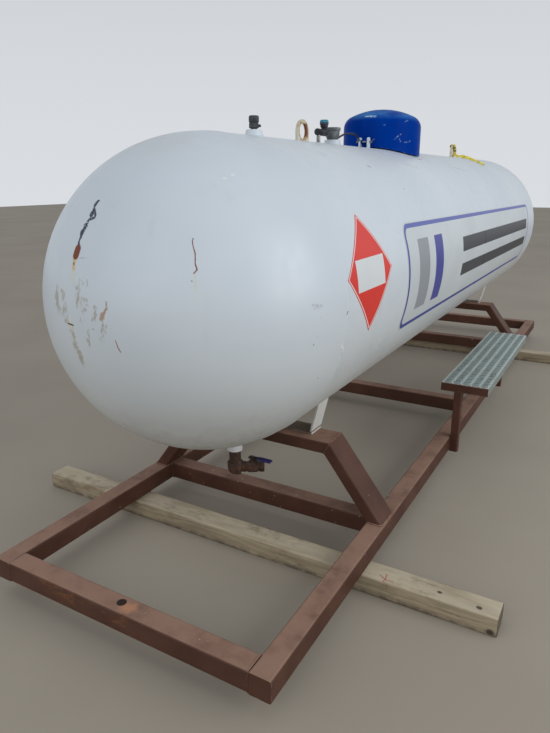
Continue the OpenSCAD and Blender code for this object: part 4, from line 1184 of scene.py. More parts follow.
def eye_plate(centre_x):
    """An arch with a foot, cut by its hole, with small chamfers at both faces."""
    half, arch_z, hole_z, bore, thick, bevel = 0.049, 0.036, 0.040, 0.031, 0.006, 0.0012
    outline = np.concatenate([arc((0, arch_z), half, 0, 180, 37), [(-half, -0.010), (half, -0.010)]])
    outline = even_steps(outline, 0.004)
    away = outline - np.array((0.0, hole_z))
    turn = np.arctan2(away[:, 1], away[:, 0])
    inner = np.stack([bore * np.cos(turn), bore * np.sin(turn)], axis=1)
    section = [(0, bevel - thick), (0.07, -thick), (0.93, -thick), (1, bevel - thick), (1, thick - bevel),
               (0.93, thick), (0.07, thick), (0, thick - bevel), (0, bevel - thick)]
    return holed_plate((centre_x, 0.0, CROWN_Z + hole_z), inner, away, section)


eye_paint = eye_rust()
for name in ("lifting_lug_near", "lifting_lug_far"):
    low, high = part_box(name)
    middle_x = (low.x + high.x) / 2
    foot = joint_loop((middle_x, 0, CROWN_Z + 0.001), (1, 0, 0), (0, 1, 0), high.x - low.x, 0.012, 0.005)
    make_piece(name + "_plate", [eye_plate(middle_x), weld_bead(foot, 0.0042, ripple=0.007)], eye_paint,
               replaced=[name])

# %% [markdown]
# ## Beads on the vessel
# Couplings, stubs, lugs and leg plates are all welded to the shell, each with a bead that follows the
# curve where it meets the cylinder. Round a boss that curve is a saddle, whose height comes
# from the shell's circle at each point's y.


# %% Soiled enamel for the leg plates
def leg_enamel():
    """White enamel on the upright parts. Soil and rust lie on the flat part, which is low and looks up."""
    material, tree, shader = new_material("leg_enamel", roughness=0.5)
    spot = place_of(tree)
    flat_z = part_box("leg_plate_near")[0].z + 0.006
    soil = plus(tree, fade(tree, height_in(tree), flat_z + 0.016, flat_z + 0.001),
                times(tree, noise(tree, spot, 26, 5), 0.5))
    soil = fade(tree, soil, 0.75, 1.05)
    colour = veils(tree, mottled(tree, spot, 9, rgb(196, 196, 190), rgb(208, 208, 202)),
                   (soil, 0.92, mottled(tree, spot, 40, rgb(92, 72, 56), rgb(122, 100, 78))),
                   (clouds(tree, spot, 34, 5, 0.62, 0.72, 0.7), 0.5, rgb(150, 140, 120)))
    paint(tree, shader, colour)
    relief(tree, shader, noise(tree, spot, 200, 3), 0.0006)
    return material


# %% Saddle beads and leg beads
def saddle(x, y, radius, below=False):
    """A circle in plan, laid on the shell: z is the axis plus or minus the root of R**2 - y**2."""
    turn = np.arange(64) / 64 * 2 * np.pi
    px, py = x + radius * np.cos(turn), y + radius * np.sin(turn)
    rise = np.sqrt(TANK_RADIUS**2 - py**2)
    return np.stack([px, py, AXIS_Z - rise if below else AXIS_Z + rise], axis=1)


def plan_circle(name):
    """The middle and the radius of a round node in plan."""
    low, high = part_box(name)
    return (low.x + high.x) / 2, (low.y + high.y) / 2, (high.y - low.y) / 2


tank_beads = [weld_bead(saddle(*plan_circle(name)), radius) for name, radius in
              (("relief_coupling", 0.004), ("bowl_coupling_ring", 0.005), ("valve_stub", 0.003))]
tank_beads.append(weld_bead(saddle(*plan_circle("outlet_coupling"), below=True), 0.005))
lugs_low, lugs_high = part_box("hood_hinge_lugs")
for y in (lugs_low.y + 0.004, lugs_high.y - 0.004):
    foot = joint_loop(((lugs_low.x + lugs_high.x) / 2, y, CROWN_Z - 0.0002), (1, 0, 0), (0, 1, 0),
                      lugs_high.x - lugs_low.x, 0.008, 0.003)
    tank_beads.append(weld_bead(foot, 0.0026, ripple=0.006))
LEG_LEAN = math.radians(14)
for name in ("leg_plate_near", "leg_plate_far"):
    low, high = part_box(name)
    middle_x, wide = (low.x + high.x) / 2, high.x - low.x
    outer = np.array((0.0, high.y, high.z))
    inner = outer - (0.0, 0.0072, 0.0042)
    foot_y = high.y - (high.z - low.z) * math.tan(LEG_LEAN) + 0.001
    for way in (-1, 1):
        middle = (outer + inner) / 2 * (1, way, 1) + (middle_x, 0, 0)
        direction = (outer - inner) * (1, way, 1)
        tank_beads.append(weld_bead(joint_loop(middle, (1, 0, 0), direction, wide, 0.0090, 0.004), 0.0034))
        foot_line = [(x, way * foot_y, low.z + 0.001) for x in (low.x + 0.004, high.x - 0.004)]
        tank_beads.append(weld_bead(foot_line, 0.0032, closed=False))
make_piece("tank_weld_beads", tank_beads, fitting_paint)
dress(fitting_paint, "relief_coupling", "bowl_coupling_ring", "outlet_coupling", "hood_hinge_lugs")
dress(leg_enamel(), "leg_plate_near", "leg_plate_far")
dress(bare_steel, "valve_stub", "hood_hinge_pin")

# %% [markdown]
# ## The blue hood
# A pressed steel hood covers the valves, hinged on the side of the near end. Its rim is cut to follow
# the shell with a small gap. A revolved profile has a flat rim, so here the wall's lowest row takes its
# height from the shell's circle at each point, and the rows above share out what is left. The enamel
# is deep blue with a painted sky sheen on top, scuffed where boots and tools met it, and chipped at the rim.

# %% Hood sizes and places on it
hood_low, hood_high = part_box("valve_hood")
HOOD_RADIUS = (hood_high.y - hood_low.y) / 2
HOOD_X = hood_high.x - HOOD_RADIUS
HOOD_WALL, HOOD_KNUCKLE, HOOD_CROWN, HOOD_SHEET, RIM_GAP = 0.104, 0.060, 0.380, 0.004, 0.006
crown_drop = math.sqrt((HOOD_CROWN - HOOD_KNUCKLE) ** 2 - (HOOD_RADIUS - HOOD_KNUCKLE) ** 2)
crown_tilt = math.degrees(math.atan2(crown_drop, HOOD_RADIUS - HOOD_KNUCKLE))


def hood_profile(inset):
    """Half of the hood's section over the crown: a knuckle arc from the wall, then the crown's arc."""
    knuckle = arc((HOOD_RADIUS - HOOD_KNUCKLE, HOOD_WALL), HOOD_KNUCKLE - inset, 0, crown_tilt, 14)
    crown = arc((0.0, HOOD_WALL - crown_drop), HOOD_CROWN - inset, crown_tilt, 90, 16)[1:]
    return np.concatenate([knuckle, crown])


print("hood radius", round(HOOD_RADIUS, 4), "middle at x", round(HOOD_X, 4))
TRIED_LENGTHS = np.linspace(2.6, 4.6, 4000)


def seen_on_hood(pixels):
    """Where lines of sight first come inside the hood's profile, tried at 4000 lengths."""
    profile = hood_profile(0.0)[::-1]
    found = []
    for pixel in pixels:
        length = TRIED_LENGTHS[:, None]
        points = CAMERA_PLACE + length * sight(pixel)
        reach = np.hypot(points[:, 0] - HOOD_X, points[:, 1])
        height = points[:, 2] - CROWN_Z
        inside = (reach < np.interp(-height, -profile[:, 1], profile[:, 0])) & (height < profile[0, 1])
        found.append(points[np.argmax(inside)])
    return found


# %% Blue enamel
def hood_enamel():
    """Deep blue, a painted sky sheen on top, a pale patch on the crown, pale scuffs where the photograph
    shows them.
    """
    material, tree, shader = new_material("hood_enamel", roughness=0.40, Specular_IOR_Level=0.012)
    spot = place_of(tree)
    # Painted reflection: faces that look up get a paler blue, as the sheen of the sky on the enamel.
    painted_sky_sheen = times(tree, upward(tree, 0.35, 0.95), clouds(tree, spot, 12, 5, 0.2, 0.7))
    streaks = clouds(tree, place_of(tree, (8, 8, 1.2)), 3, 4, 0.62, 0.8)
    colour = veils(tree, mottled(tree, spot, 7, rgb(0, 48, 136), rgb(0, 54, 144)),
                   (painted_sky_sheen, 0.80, rgb(68, 128, 190)), (streaks, 0.2, rgb(40, 80, 150)))
    back = vector(tree, "SUBTRACT", spot, (0.006, 0.006, 0.006))
    shaken = moved(tree, back, noise(tree, spot, 160, 4), (0.012, 0.012, 0.012))
    # A pale patch near the top of the crown; the list below holds the small pale scuffs.
    patch = seen_on_hood([(366.0, 117.3), (371.0, 117.0), (375.5, 117.2)])
    white = strokes(tree, shaken, patch, [0.0085, 0.0085], 0.4)
    marks = [[(394.5, 139.5), (396.0, 138.0)], [(399.5, 139.0), (400.5, 141.5)],
             [(404.5, 142.0), (406.5, 142.2)], [(408.0, 142.0), (410.0, 141.0)],
             [(405.0, 121.5), (407.5, 120.5)], [(383.5, 124.5), (385.0, 124.8)],
             [(397.0, 136.8), (401.0, 134.0)]]
    for mark in marks:
        white = larger(tree, white, times(tree, strokes(tree, shaken, seen_on_hood(mark), [0.0038]), 0.35))
    white = times(tree, white, clouds(tree, spot, 120, 4, 0.36, 0.52))
    colour = blend(tree, white, colour, rgb(176, 206, 226))
    chips = specks(tree, spot, 30, 0.0022, 0.10)
    rim = times(tree, worn_edges(tree, 0.0025), clouds(tree, spot, 70, 4, 0.45, 0.62))
    colour = veils(tree, colour, (larger(tree, chips, rim), 0.75, rgb(120, 136, 168)))
    paint(tree, shader, colour, blend_numbers(tree, white, blend_numbers(tree, painted_sky_sheen, 0.30, 0.50), 0.7))
    relief(tree, shader, plus(tree, noise(tree, spot, 16, 2), times(tree, noise(tree, spot, 300, 2), 0.04)),
           0.0012)
    return material


# %% Hood shell and ears
HOOD_LEAN, LEAN_START, LEAN_RUN = 0.007, 0.05, 0.10
EAR_HALF, EAR_BORE = 0.009, 0.00405


def hood_shell():
    """Outer wall from the rim to the pole, then the inner wall back. Rows share out the height over the rim.

    At last the top leans: a point sinks by its place along x, times a smooth step of its height."""
    turn = np.linspace(0, 2 * np.pi, 121)

    def wall(inset, shares, flare=0.0):
        radius = np.full(len(shares), HOOD_RADIUS - inset) + flare * np.maximum(0, 1 - shares / 0.06)
        y = radius[:, None] * np.sin(turn)
        rim = np.sqrt((TANK_RADIUS + RIM_GAP) ** 2 - y**2) - TANK_RADIUS
        z = rim + (HOOD_WALL - rim) * shares[:, None]
        return np.stack([HOOD_X + radius[:, None] * np.cos(turn), y, CROWN_Z + z], axis=-1)

    def dome(inset):
        profile = hood_profile(inset)[1:]
        x, y = profile[:, :1] * np.cos(turn), profile[:, :1] * np.sin(turn)
        return np.stack([HOOD_X + x, y, CROWN_Z + np.broadcast_to(profile[:, 1:], x.shape)], axis=-1)

    shares = np.array((0.0, 0.02, 0.045, 0.06, 0.2, 0.4, 0.6, 0.8, 1.0))
    outer = np.concatenate([wall(0.0, shares, 0.0012), dome(0.0)])
    inner = np.concatenate([wall(HOOD_SHEET, shares), dome(HOOD_SHEET)])[::-1]
    shell = np.concatenate([outer, inner, outer[:1]])
    height = np.clip((shell[..., 2] - CROWN_Z - LEAN_START) / LEAN_RUN, 0, 1)
    shell[..., 2] -= (shell[..., 0] - HOOD_X) / HOOD_RADIUS * HOOD_LEAN * height * height * (3 - 2 * height)
    return shell


pin_low, pin_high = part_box("hood_hinge_pin")
PIN_X, PIN_Z = (pin_low.x + pin_high.x) / 2, (pin_low.z + pin_high.z) / 2


def hood_ear(y0, y1):
    """A flat ear, round at the pin and square at the wall."""
    reach = HOOD_X - HOOD_RADIUS + 0.003 - PIN_X
    square_end = [(reach, -EAR_HALF), (reach, EAR_HALF)]
    outline = even_steps(np.concatenate([arc((0, 0), EAR_HALF, 90, 270, 17), square_end]), 0.002)
    hole = EAR_BORE * outline / np.linalg.norm(outline, axis=1)[:, None]
    section = ((0, y0), (1, y0), (1, y1), (0, y1), (0, y0))
    return holed_plate((PIN_X, 0.0, PIN_Z), hole, outline, section)


blue_enamel = hood_enamel()
ears = [hood_ear(-0.017, -0.011), hood_ear(0.011, 0.017)]
make_piece("valve_hood_pressing", [hood_shell(), *ears], blue_enamel, body=HOOD,
           replaced=["valve_hood"])

# %% Split pin at the hinge
pin_end = np.array((PIN_X, pin_low.y + 0.002, PIN_Z))
split_legs = []
for leg in (np.array((0.002, -0.017, 0.013)), np.array((0.002, -0.006, -0.006))):
    leg_path = smooth_path([pin_end + (0, 0.004, 0), pin_end, pin_end + leg * 0.5, pin_end + leg], 4)
    split_legs.append(swept(leg_path, round_outline(0.0016, 8), up=(1, 0, 0)))
pin_head = [(0, 0), (0.0062, 0), (0.0066, 0.0008), (0.0066, 0.0030), (0.0050, 0.0042), (0, 0.0046)]
pin_cap = revolved(pin_head, (PIN_X, pin_high.y - 0.0005, PIN_Z), (0, 1, 0), 24)
make_piece("hinge_split_pin", [*split_legs, pin_cap], bare_steel)

# %% [markdown]
# ## Under the hood
# With the hood up, three fittings show: a fill valve, a service valve with a hand wheel and a level
# gauge. The plain model has their forms, so they keep them and get brass and cast metal. The
# gauge's face is a thin dial with plain ticks, drawn by the angle round its middle.

# %% Valves and dial
dress(brass, "fill_valve", "service_valve")
dress(gauge_metal, "level_gauge")
gauge_low, gauge_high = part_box("level_gauge")
DIAL_TICKS = 20
dial = np.array(((gauge_low.x + gauge_high.x) / 2, (gauge_low.y + gauge_high.y) / 2, gauge_high.z - 0.003))
face, tree, shader = new_material("dial_face", roughness=0.35)
away = vector(tree, "SUBTRACT", place_of(tree), tuple(dial))
dial_x, dial_y = (axis_of(tree, away, k) for k in (0, 1))
angle = calc(tree, "ARCTAN2", dial_y, dial_x)
distance = vector(tree, "LENGTH", away, out=1)
tick = fade(tree, calc(tree, "COSINE", times(tree, angle, DIAL_TICKS)), 0.80, 0.95)
band = times(tree, fade(tree, distance, 0.0096, 0.0100), fade(tree, distance, 0.0138, 0.0134))
face_mask = times(tree, tick, band)
face_plain = mottled(tree, away, 80, rgb(222, 220, 210), rgb(208, 206, 196))
face_colour = blend(tree, face_mask, face_plain, rgb(30, 30, 32))
needle = stroke(tree, away, (-0.003, -0.002, 0), (0.0095, 0.006, 0), 0.0008, 0.3)
paint(tree, shader, blend(tree, needle, face_colour, rgb(176, 34, 26)))
dial_disc = [(0, -0.0008), (0.0150, -0.0008), (0.0150, 0.0005), (0.0146, 0.0008), (0, 0.0008)]
make_piece("gauge_dial", [revolved(dial_disc, dial, steps=40)], face)

# %% [markdown]
# ## The bottom outlet
# A coupling under the near end carries a threaded nipple, a cast elbow and a ball valve with a dipped
# lever. The thread is a profile with small teeth. The elbow is a swollen ball with two collars, as cast
# elbows are, and everything is rusty except the lever's grip.

# %% Outlet pipework
coupling_x = sum(corner.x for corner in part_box("outlet_coupling")) / 2
nipple_low, nipple_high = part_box("outlet_nipple")
ELBOW_RADIUS, THREAD_PITCH, THREAD_DEPTH = 0.032, 0.0016, 0.0008
elbow_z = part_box("outlet_elbow")[0].z + ELBOW_RADIUS
valve_way = np.array((0.5, -0.8660254, 0.0))    # 60 degrees from the tank's axis, to the step side
nipple_length = nipple_high.z - nipple_low.z
teeth = [(0.0222 + THREAD_DEPTH * (k % 2), THREAD_PITCH * k)
         for k in range(1, int((nipple_length - 0.001) / THREAD_PITCH))]
nipple_profile = [(0, 0), (0.0215, 0), *teeth, (0.0215, nipple_length), (0, nipple_length)]
make_piece("outlet_nipple_thread", [revolved(nipple_profile, (coupling_x, 0, nipple_low.z), steps=40)],
           rusty_steel, replaced=["outlet_nipple"])
elbow_middle = np.array((coupling_x, 0.0, elbow_z))
ball = arc((0, 0), 0.0305, -90, 90, 25)
rim = [(0, 0.006), (0.0290, 0.006), (0.0312, 0.0080), (0.0312, 0.0200), (0.0300, 0.0222), (0.0225, 0.0222),
       (0, 0.0222)]
elbow_parts = [revolved(ball, elbow_middle, steps=48), revolved(rim, elbow_middle, steps=48),
               revolved(rim, elbow_middle, valve_way, 48)]
make_piece("outlet_elbow_cast", elbow_parts, rusty_steel, replaced=["outlet_elbow"])

# %% Ball valve and lever
VALVE_LENGTH, VALVE_HEX, HEX_LENGTH, BUSH_DEPTH = 0.092, 0.042, 0.020, 0.018
valve_start = elbow_middle + valve_way * 0.0224    # the face of the elbow's collar
barrel = [(0, 0.018), (0.0170, 0.018), (0.0180, 0.0205), (0.0225, 0.0300), (0.0230, 0.0340), (0.0230, 0.0580),
          (0.0225, 0.0620), (0.0180, 0.0715), (0.0170, 0.0740), (0, 0.0740)]
bush = [(0, VALVE_LENGTH - 0.002), (0.0165, VALVE_LENGTH - 0.002), (0.0165, VALVE_LENGTH),
        (0.0130, VALVE_LENGTH), (0.0128, VALVE_LENGTH - BUSH_DEPTH), (0, VALVE_LENGTH - BUSH_DEPTH)]
stem_base = valve_start + valve_way * VALVE_LENGTH / 2
bonnet = [(0, 0.012), (0.0130, 0.012), (0.0130, 0.0270), (0.0105, 0.0285), (0.0080, 0.0290), (0.0070, 0.0400),
          (0, 0.0400)]
hex_places = (valve_start, valve_start + valve_way * (VALVE_LENGTH - HEX_LENGTH))
make_piece("outlet_valve_body",
           [*(prism(place, hexagon(VALVE_HEX), HEX_LENGTH, valve_way, 0.0012) for place in hex_places),
            revolved(barrel, valve_start, valve_way, 48), revolved(bush, valve_start, valve_way, 32),
            revolved(bonnet, stem_base, steps=28),
            prism(stem_base + (0, 0, 0.0405), hexagon(0.0130), 0.0045)], rusty_steel,
           replaced=["outlet_valve"])
grip, tree, shader = new_material("lever_grip", roughness=0.5)
spot = place_of(tree)
lever_way = np.array((0.0, -1.0, 0.0))
reach = vector(tree, "DOT_PRODUCT", vector(tree, "SUBTRACT", spot, tuple(stem_base)), tuple(lever_way), out=1)
colour = mottled(tree, spot, 60, rgb(24, 24, 74), rgb(44, 44, 104))
colour = blend(tree, fade(tree, reach, 0.030, 0.026), colour, rgb(20, 20, 22))
paint(tree, shader, colour)
relief(tree, shader, noise(tree, spot, 260, 3), 0.0004)
LEVER_LIFT, LEVER_WIDTH, LEVER_THICK = 0.023 + 0.018, 0.026, 0.0085
# The lever's line, by how far from the stem and how far above its level, and its width as a share there
LEVER_POINTS = ((-0.014, -0.003), (0.010, -0.003), (0.022, -0.003), (0.030, -0.002), (0.050, -0.002),
                (0.070, -0.002), (0.083, -0.002))
LEVER_SHARES = (0.84, 0.84, 0.84, 1.0, 1.0 - 0.04 / 3, 1.0 - 0.08 / 3, 0.96)
lever_z = elbow_z + LEVER_LIFT
lever_places = [stem_base * (1, 1, 0) + lever_way * out + (0, 0, lever_z + up) for out, up in LEVER_POINTS]
lever_line = smooth_path(lever_places, 4)
numbers = np.arange(len(LEVER_SHARES))
lever_scale = np.interp(np.linspace(0, numbers[-1], len(lever_line)), numbers, LEVER_SHARES)
lever_outline = even_steps(rounded_rectangle(LEVER_WIDTH, LEVER_THICK, 0.004, 4), 0.003)
lever = swept(lever_line, lever_outline, scale=lever_scale)
make_piece("outlet_lever", [lever], grip, replaced=["outlet_handle"])

# %% [markdown]
# ## Tape at the far eye
# A length of yellow marking tape is knotted at the far eye and its tail lies down the shell. Real tape
# creases and rolls up on itself. So the tail is a thin strip whose section is an arc that opens, closes
# and rolls along its way, the knot is a crumpled ball, and two bands pass through the eye.


# %% Marking tape
BAR_PITCH = 0.062


def tape_finish():
    """Yellow film with black bars across it, by the distance along, kept in the piece's UV map."""
    material, tree, shader = new_material("marking_tape_film", roughness=0.38)
    along, across = flat_place(tree)
    bars = calc(tree, "SINE", times(tree, along, 2 * math.pi / BAR_PITCH))
    ragged = noise(tree, place_of(tree), 190, 4)
    dark = times(tree, fade(tree, bars, 0.70, 0.86), fade(tree, plus(tree, ragged, across), 0.66, 0.74))
    colour = mottled(tree, place_of(tree), 40, rgb(232, 212, 62), rgb(244, 230, 98))
    soiled = clouds(tree, place_of(tree), 55, 4, 0.55, 0.7)
    paint(tree, shader, veils(tree, colour, (soiled, 0.5, rgb(206, 132, 44)), (dark, 0.9, rgb(40, 38, 28))))
    relief(tree, shader, noise(tree, place_of(tree), 140, 3), 0.0012)
    return material


def strip_uv(grid, lengths):
    """Distance along the strip, and the share of the way round its section."""
    along = np.broadcast_to(np.asarray(lengths)[:, None], grid.shape[:2])
    return np.stack([along, np.broadcast_to(np.linspace(0, 1, grid.shape[1]), grid.shape[:2])], axis=-1)


tape = tape_finish()
far_low, far_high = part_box("lifting_lug_far")
knot = np.array(((far_low.x + far_high.x) / 2, -0.014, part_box("marking_tape")[1].z - 0.010))
TAPE_WIDTH, TAPE_THICK = 0.040, 0.0010
TAIL_REACH, TAIL_DRIFT = 0.226, 0.066
share = np.linspace(0, 1, 90)
tail_x = knot[0] - share * TAIL_DRIFT + 0.004 * np.sin(share * 9)
tail_angle = np.arccos(np.clip((0.016 + share * TAIL_REACH) / (TANK_RADIUS + 0.002), -1, 1))
tail = on_shell(tail_x, tail_angle, 0.0145 + 0.0050 * np.sin(share * 31) * (1 - share) - 0.006 * share)
drop = np.linspace(0, 1, 14)[:-1, None]    # the straight part from the knot down to the shell
knot_foot = knot + (0, -0.001, -0.006)
tail = np.concatenate([knot_foot + drop * (tail[0] - knot_foot), tail])


def ribbon(path, width, thick, seed):
    """A thin closed strip: its section is an arc that opens and closes, and rolls about the path."""
    spread = np.linspace(-1, 1, 13)
    bend = 1.5 + 0.5 * smooth_noise(path, 30, seed + 2)[:, None]
    radius = width / 2 / bend
    across, rise = radius * np.sin(spread * bend), radius * (np.cos(spread * bend) - 0.7)
    top = np.stack([across, rise + thick / 2], axis=-1)
    under = np.stack([across, rise - thick / 2], axis=-1)[:, ::-1]
    section = np.concatenate([top, under, top[:, :1]], axis=1)
    along = np.gradient(path, axis=0)
    along /= np.linalg.norm(along, axis=1)[:, None]
    roll = np.stack([0.35 * smooth_noise(path, 22, seed), 0.3 + 0.5 * smooth_noise(path, 26, seed + 1),
                     np.ones(len(path))], axis=1)
    side = np.cross(roll, along)
    side /= np.linalg.norm(side, axis=1)[:, None]
    out = np.cross(along, side)
    rows = path[:, None] + section[..., :1] * side[:, None] + section[..., 1:] * out[:, None]
    ends = [np.broadcast_to(rows[k].mean(0), rows[k].shape)[None] for k in (0, -1)]
    return np.concatenate([ends[0], rows, ends[1]])


def lengths_along(grid):
    """How far each row's middle is from the first, along the strip."""
    return np.concatenate([[0], np.cumsum(np.linalg.norm(np.diff(grid.mean(1), axis=0), axis=1))])


tail_grid = ribbon(tail, TAPE_WIDTH, TAPE_THICK, 5)
tape_tail = make_piece("marking_tape_tail", [tail_grid], tape, replaced=["marking_tape"],
                       uvs=[strip_uv(tail_grid, lengths_along(tail_grid))])

# %% Knot and bands at the eye
LOOP_Z = CROWN_Z + 0.0775    # the middle of the plate above the eye's hole
BAND_SECTION = rounded_rectangle(0.026, 0.0012, 0.0005, 2)[:, ::-1]
loop_turn = np.linspace(0.2, 2 * np.pi - 0.1, 30)
knot_grids = []
for lean, size in ((0.010, 0.0150), (-0.012, 0.0165)):
    across, along, rise = lean * np.cos(loop_turn), size * np.sin(loop_turn), size * 0.8 * np.cos(loop_turn)
    loop = np.stack([knot[0] + across, along, LOOP_Z + rise], axis=1)
    knot_grids.append(swept(loop, BAND_SECTION, up=(1, 0.1, 0.2)))
polar, turn = np.meshgrid(np.linspace(0, np.pi, 19), np.linspace(0, 2 * np.pi, 31), indexing="ij")
ball_way = np.stack([np.sin(polar) * np.cos(turn), np.sin(polar) * np.sin(turn), np.cos(polar)], axis=-1)
crumple = 1 + 0.20 * smooth_noise(ball_way, 4.5, 12) + 0.10 * smooth_noise(ball_way, 11, 13)
knot_ball = knot + ball_way * np.array((0.0160, 0.0095, 0.0130)) * crumple[..., None]
knot_ball[:, -1] = knot_ball[:, 0]
knot_ball[0], knot_ball[-1] = knot_ball[0, 0], knot_ball[-1, 0]
knot_grids.append(knot_ball)
tape_knot = make_piece("marking_tape_knot", knot_grids, tape,
                       uvs=[strip_uv(g, lengths_along(g)) for g in knot_grids])

# %% [markdown]
# ## Two plain stickers
# A tank like this carries a diamond sticker and a long panel on its step side, both cut from plastic film
# that lies on the curve of the shell. The diamond is red with a white rim and one pale plate. The panel
# has a blue line round it, two upright bars and two dark stripes. A film could be a picture on the
# shell's own paint, but its edge stands out in the light, so each one is a thin closed skin. Its UV
# map is in metres, so that a line's width is a real width.


# %% Sticker surfaces
STICKER_LIFT, STICKER_SINK = 0.0008, -0.0004    # the film's top and its underside, from the shell


def closed_sticker(name, x, angle, u, v, material, tilt=0.0):
    """A sticker on grids of flat places, u along the tank and v up the curve, closed by its underside.

    The flat sheet is turned by a small tilt, then v over the radius is added to the angle."""
    along, up = x + u - v * tilt, angle + (v + u * tilt) / TANK_RADIUS
    top, under = on_shell(along, up, STICKER_LIFT), on_shell(along, up, STICKER_SINK)
    sheet = np.concatenate([top, under[:, ::-1], top[:, :1]], axis=1)
    flat = np.stack([u, v], axis=-1)
    uv = np.concatenate([flat, flat[:, ::-1], flat[:, :1]], axis=1)
    first, last = (np.broadcast_to(sheet[k].mean(0), sheet[k].shape)[None] for k in (0, -1))
    grid = np.concatenate([first, sheet, last])
    uv = np.concatenate([uv[:1], uv, uv[-1:]])
    return make_piece(name, [grid], material, uvs=[uv], crease=40)


def sticker_film(name, base, second):
    """Printed film: semi-gloss and a little mottled. Gives back its parts and the two flat directions."""
    material, tree, shader = new_material(name, roughness=0.40, Specular_IOR_Level=0.35)
    return material, tree, shader, mottled(tree, place_of(tree), 3, base, second), *flat_place(tree)


def finish_film(tree, shader, colour):
    """Common wear for both stickers, then the links to the shader."""
    wear = clouds(tree, place_of(tree, (1, 5, 5)), 26, 5, 0.66, 0.78, 0.7)
    paint(tree, shader, veils(tree, colour, (wear, 0.28, rgb(158, 152, 144))))
    relief(tree, shader, noise(tree, place_of(tree), 2.2, 2), 0.0022)


# %% Diamond placard
DIAMOND_X, DIAMOND_ANGLE, DIAMOND_HALF = -1.679, math.radians(9.5), 0.1945
DIAMOND_RIM = (0.0145, 0.0070)    # where the pale rim starts and ends, in from the edge
PLATE_HALF_LENGTH, PLATE_HALF_HEIGHT, PRINT_EDGE = 0.1185, 0.0505, 0.0010
CORNER_CUT = 0.003
film, tree, shader, colour, u, v = sticker_film("diamond_film", rgb(208, 40, 30), rgb(216, 50, 38))
reach = plus(tree, calc(tree, "ABSOLUTE", u), calc(tree, "ABSOLUTE", v))
in_height, in_length = (fade(tree, calc(tree, "ABSOLUTE", c), half, half - PRINT_EDGE)
                        for c, half in ((v, PLATE_HALF_HEIGHT), (u, PLATE_HALF_LENGTH)))
plate = times(tree, in_height, in_length)
colour = blend(tree, plate, colour, mottled(tree, place_of(tree), 4, rgb(214, 218, 218), rgb(206, 210, 211)))
rim_start, rim_end = (DIAMOND_HALF - inward for inward in DIAMOND_RIM)
rim = times(tree, fade(tree, reach, rim_start, rim_start + PRINT_EDGE),
            fade(tree, reach, rim_end, rim_end - PRINT_EDGE))
colour = blend(tree, rim, colour, rgb(222, 206, 204))
finish_film(tree, shader, colour)
edge = np.linspace(-1, 1, 65)
width_at = np.maximum(DIAMOND_HALF - np.abs(edge) * DIAMOND_HALF, CORNER_CUT) - CORNER_CUT * 0.5
v_grid = width_at[:, None] * np.linspace(-1, 1, 33)
u_grid = np.broadcast_to((edge * (DIAMOND_HALF - CORNER_CUT))[:, None], v_grid.shape)
closed_sticker("diamond_placard", DIAMOND_X, DIAMOND_ANGLE, u_grid, v_grid, film)

# %% Long panel
PANEL_X = (-1.306, 1.630)
PANEL_ANGLE, PANEL_HALF_ANGLE, PANEL_TILT = math.radians(-0.75), math.radians(22.85), -0.0117
PANEL_RIM, LINE_WIDTH, LINE_EDGE, STRIPE_EDGE = 0.006, 0.018, 0.0008, 0.0012
PANEL_CORNER = 0.058 + PANEL_RIM
middle_x = sum(PANEL_X) / 2
half_u, half_v = (PANEL_X[1] - PANEL_X[0]) / 2 + PANEL_RIM, PANEL_HALF_ANGLE * TANK_RADIUS + PANEL_RIM
film, tree, shader, colour, u, v = sticker_film("panel_film", rgb(190, 197, 200), rgb(198, 205, 208))
outside = [larger(tree, minus(tree, calc(tree, "ABSOLUTE", c), half - PANEL_CORNER), 0.0)
           for c, half in ((u, half_u), (v, half_v))]
edge_distance = calc(tree, "SQRT", plus(tree, *(times(tree, c, c) for c in outside)))
line_start = PANEL_CORNER - PANEL_RIM - LINE_WIDTH
line_end = line_start + LINE_WIDTH
line = times(tree, fade(tree, edge_distance, line_start - LINE_EDGE, line_start),
            fade(tree, edge_distance, line_end, line_end - LINE_EDGE))
# The blue line is painted paler towards the top of the curve, as painted sky light on its upper part.
blue_line_lit_above = blend(tree, fade(tree, v, half_v * 0.2, half_v), rgb(54, 60, 142), rgb(86, 98, 168))
colour = blend(tree, line, colour, blue_line_lit_above)


def inside_box(tree, u, v, start, end, low, high):
    """1 inside a box of the panel, as the product of one mask along it and one up it."""
    along, upwards = (
        times(tree, fade(tree, c, first - STRIPE_EDGE, first), fade(tree, c, last + STRIPE_EDGE, last))
        for c, first, last in ((u, start, end), (v, low, high)))
    return times(tree, along, upwards)


for place, ink in (((-1.33, -1.19, -0.14, 0.14), rgb(140, 146, 152)),
                   ((-1.10, -0.98, -0.14, 0.14), rgb(58, 64, 144)),
                   ((-0.62, 1.38, 0.03, 0.10), rgb(50, 54, 60)),
                   ((-0.62, 1.38, -0.09, -0.03), rgb(54, 58, 64))):
    colour = blend(tree, inside_box(tree, u, v, *place), colour, ink)
finish_film(tree, shader, colour)
round_part = half_u - PANEL_CORNER * (1 - np.sin(np.linspace(0, np.pi / 2, 14)))
weld_rows = MIDDLE_SEAM - middle_x + BEAD_WIDTH * np.linspace(-4, 4, 17)
run = np.unique(np.concatenate([-round_part, np.linspace(-half_u + PANEL_CORNER, half_u - PANEL_CORNER, 60),
                                weld_rows, round_part]))
inset = np.maximum(np.abs(run) - (half_u - PANEL_CORNER), 0.0)
tall = half_v - PANEL_CORNER + np.sqrt(np.maximum(PANEL_CORNER**2 - inset**2, 1e-8))
v_grid = tall[:, None] * np.linspace(-1, 1, 41)
u_grid = np.broadcast_to(run[:, None], v_grid.shape)
closed_sticker("long_panel", middle_x, PANEL_ANGLE, u_grid, v_grid, film, tilt=PANEL_TILT)

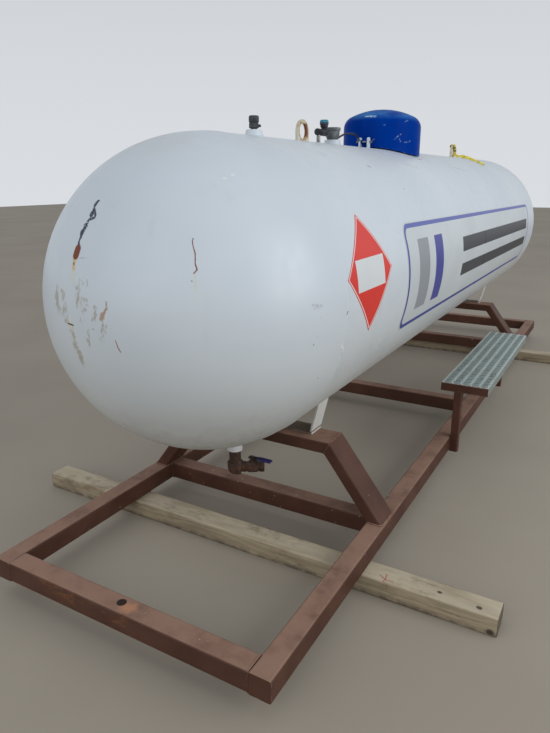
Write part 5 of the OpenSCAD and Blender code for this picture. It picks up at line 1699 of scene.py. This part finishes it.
# %% [markdown]
# ## Floor, light and colour
# The photograph has an even overcast sky, low and bright on the near side, so the studio copies that: a
# pale floor, a soft dome that is brightest at the horizon, and two broad lamps before the near end and
# the step side. A sun lamp would draw hard shadows that the photograph doesn't have. The Standard view
# keeps colours as the materials state them.

# %% Floor and light
FLOOR_SIZE, LAMP_SIZE, LAMP_TARGET, LAMP_TINT = 60.0, 5.0, (0, 0, 0.8), (0.98, 1.0, 1.03)
HORIZON, ZENITH = (0.70, 0.72, 0.75, 1), (0.50, 0.52, 0.55, 1)


def make_floor():
    """A large level square under the object, in a plain pale finish with the faintest mottling."""
    material, tree, shader = new_material("pale_floor", roughness=0.9)
    cloud = clouds(tree, place_of(tree), 0.6, 4, 0.3, 0.7)
    paint(tree, shader, blend(tree, cloud, rgb(156, 147, 133), rgb(164, 155, 141)))
    side = np.linspace(-FLOOR_SIZE / 2, FLOOR_SIZE / 2, 3)
    x, y = np.meshgrid(side, side, indexing="ij")
    mesh = bpy.data.meshes.new("studio_floor")
    mesh.from_pydata(np.stack([x, y, x * 0], axis=-1).reshape(-1, 3).tolist(), [],
                     grid_faces(3, 3)[:, ::-1].tolist())
    mesh.materials.append(material)
    floor = bpy.data.objects.new("studio_floor", mesh)
    bpy.context.scene.collection.objects.link(floor)


def area_lamp(name, place, power):
    """A square lamp at a place that looks at the tank's middle."""
    data = bpy.data.lights.new(name, "AREA")
    data.shape, data.size, data.energy, data.color = "SQUARE", LAMP_SIZE, power, LAMP_TINT
    lamp = bpy.data.objects.new(name, data)
    side, other, ahead = axes_along(np.asarray(place, float) - np.asarray(LAMP_TARGET, float))
    turn = Matrix([list(row) for row in np.stack([side, other, ahead], axis=1)]).to_4x4()
    lamp.matrix_world = Matrix.Translation(place) @ turn
    bpy.context.scene.collection.objects.link(lamp)


def sky_dome():
    """The world's light: brightest at the horizon and dimmer overhead, as late on a cloudy day."""
    world = bpy.data.worlds.new("soft_sky")
    bpy.context.scene.world = world
    world.use_nodes = True
    tree = world.node_tree
    up = axis_of(tree, add_node(tree, "TexCoord", out="Generated"), 2)
    background = tree.nodes["Background"]
    tree.links.new(blend(tree, fade(tree, up, -0.05, 0.7), HORIZON, ZENITH), background.inputs["Color"])
    background.inputs["Strength"].default_value = 1.0


make_floor()
sky_dome()
area_lamp("near_end_softbox", (-7.5, 1.0, 3.2), 85)
area_lamp("step_side_softbox", (-1.0, -7.0, 3.6), 250)
bpy.context.scene.view_settings.view_transform = "Standard"
bpy.context.scene.view_settings.look = "None"
print("floor", FLOOR_SIZE, "m, two lamps and a dome")
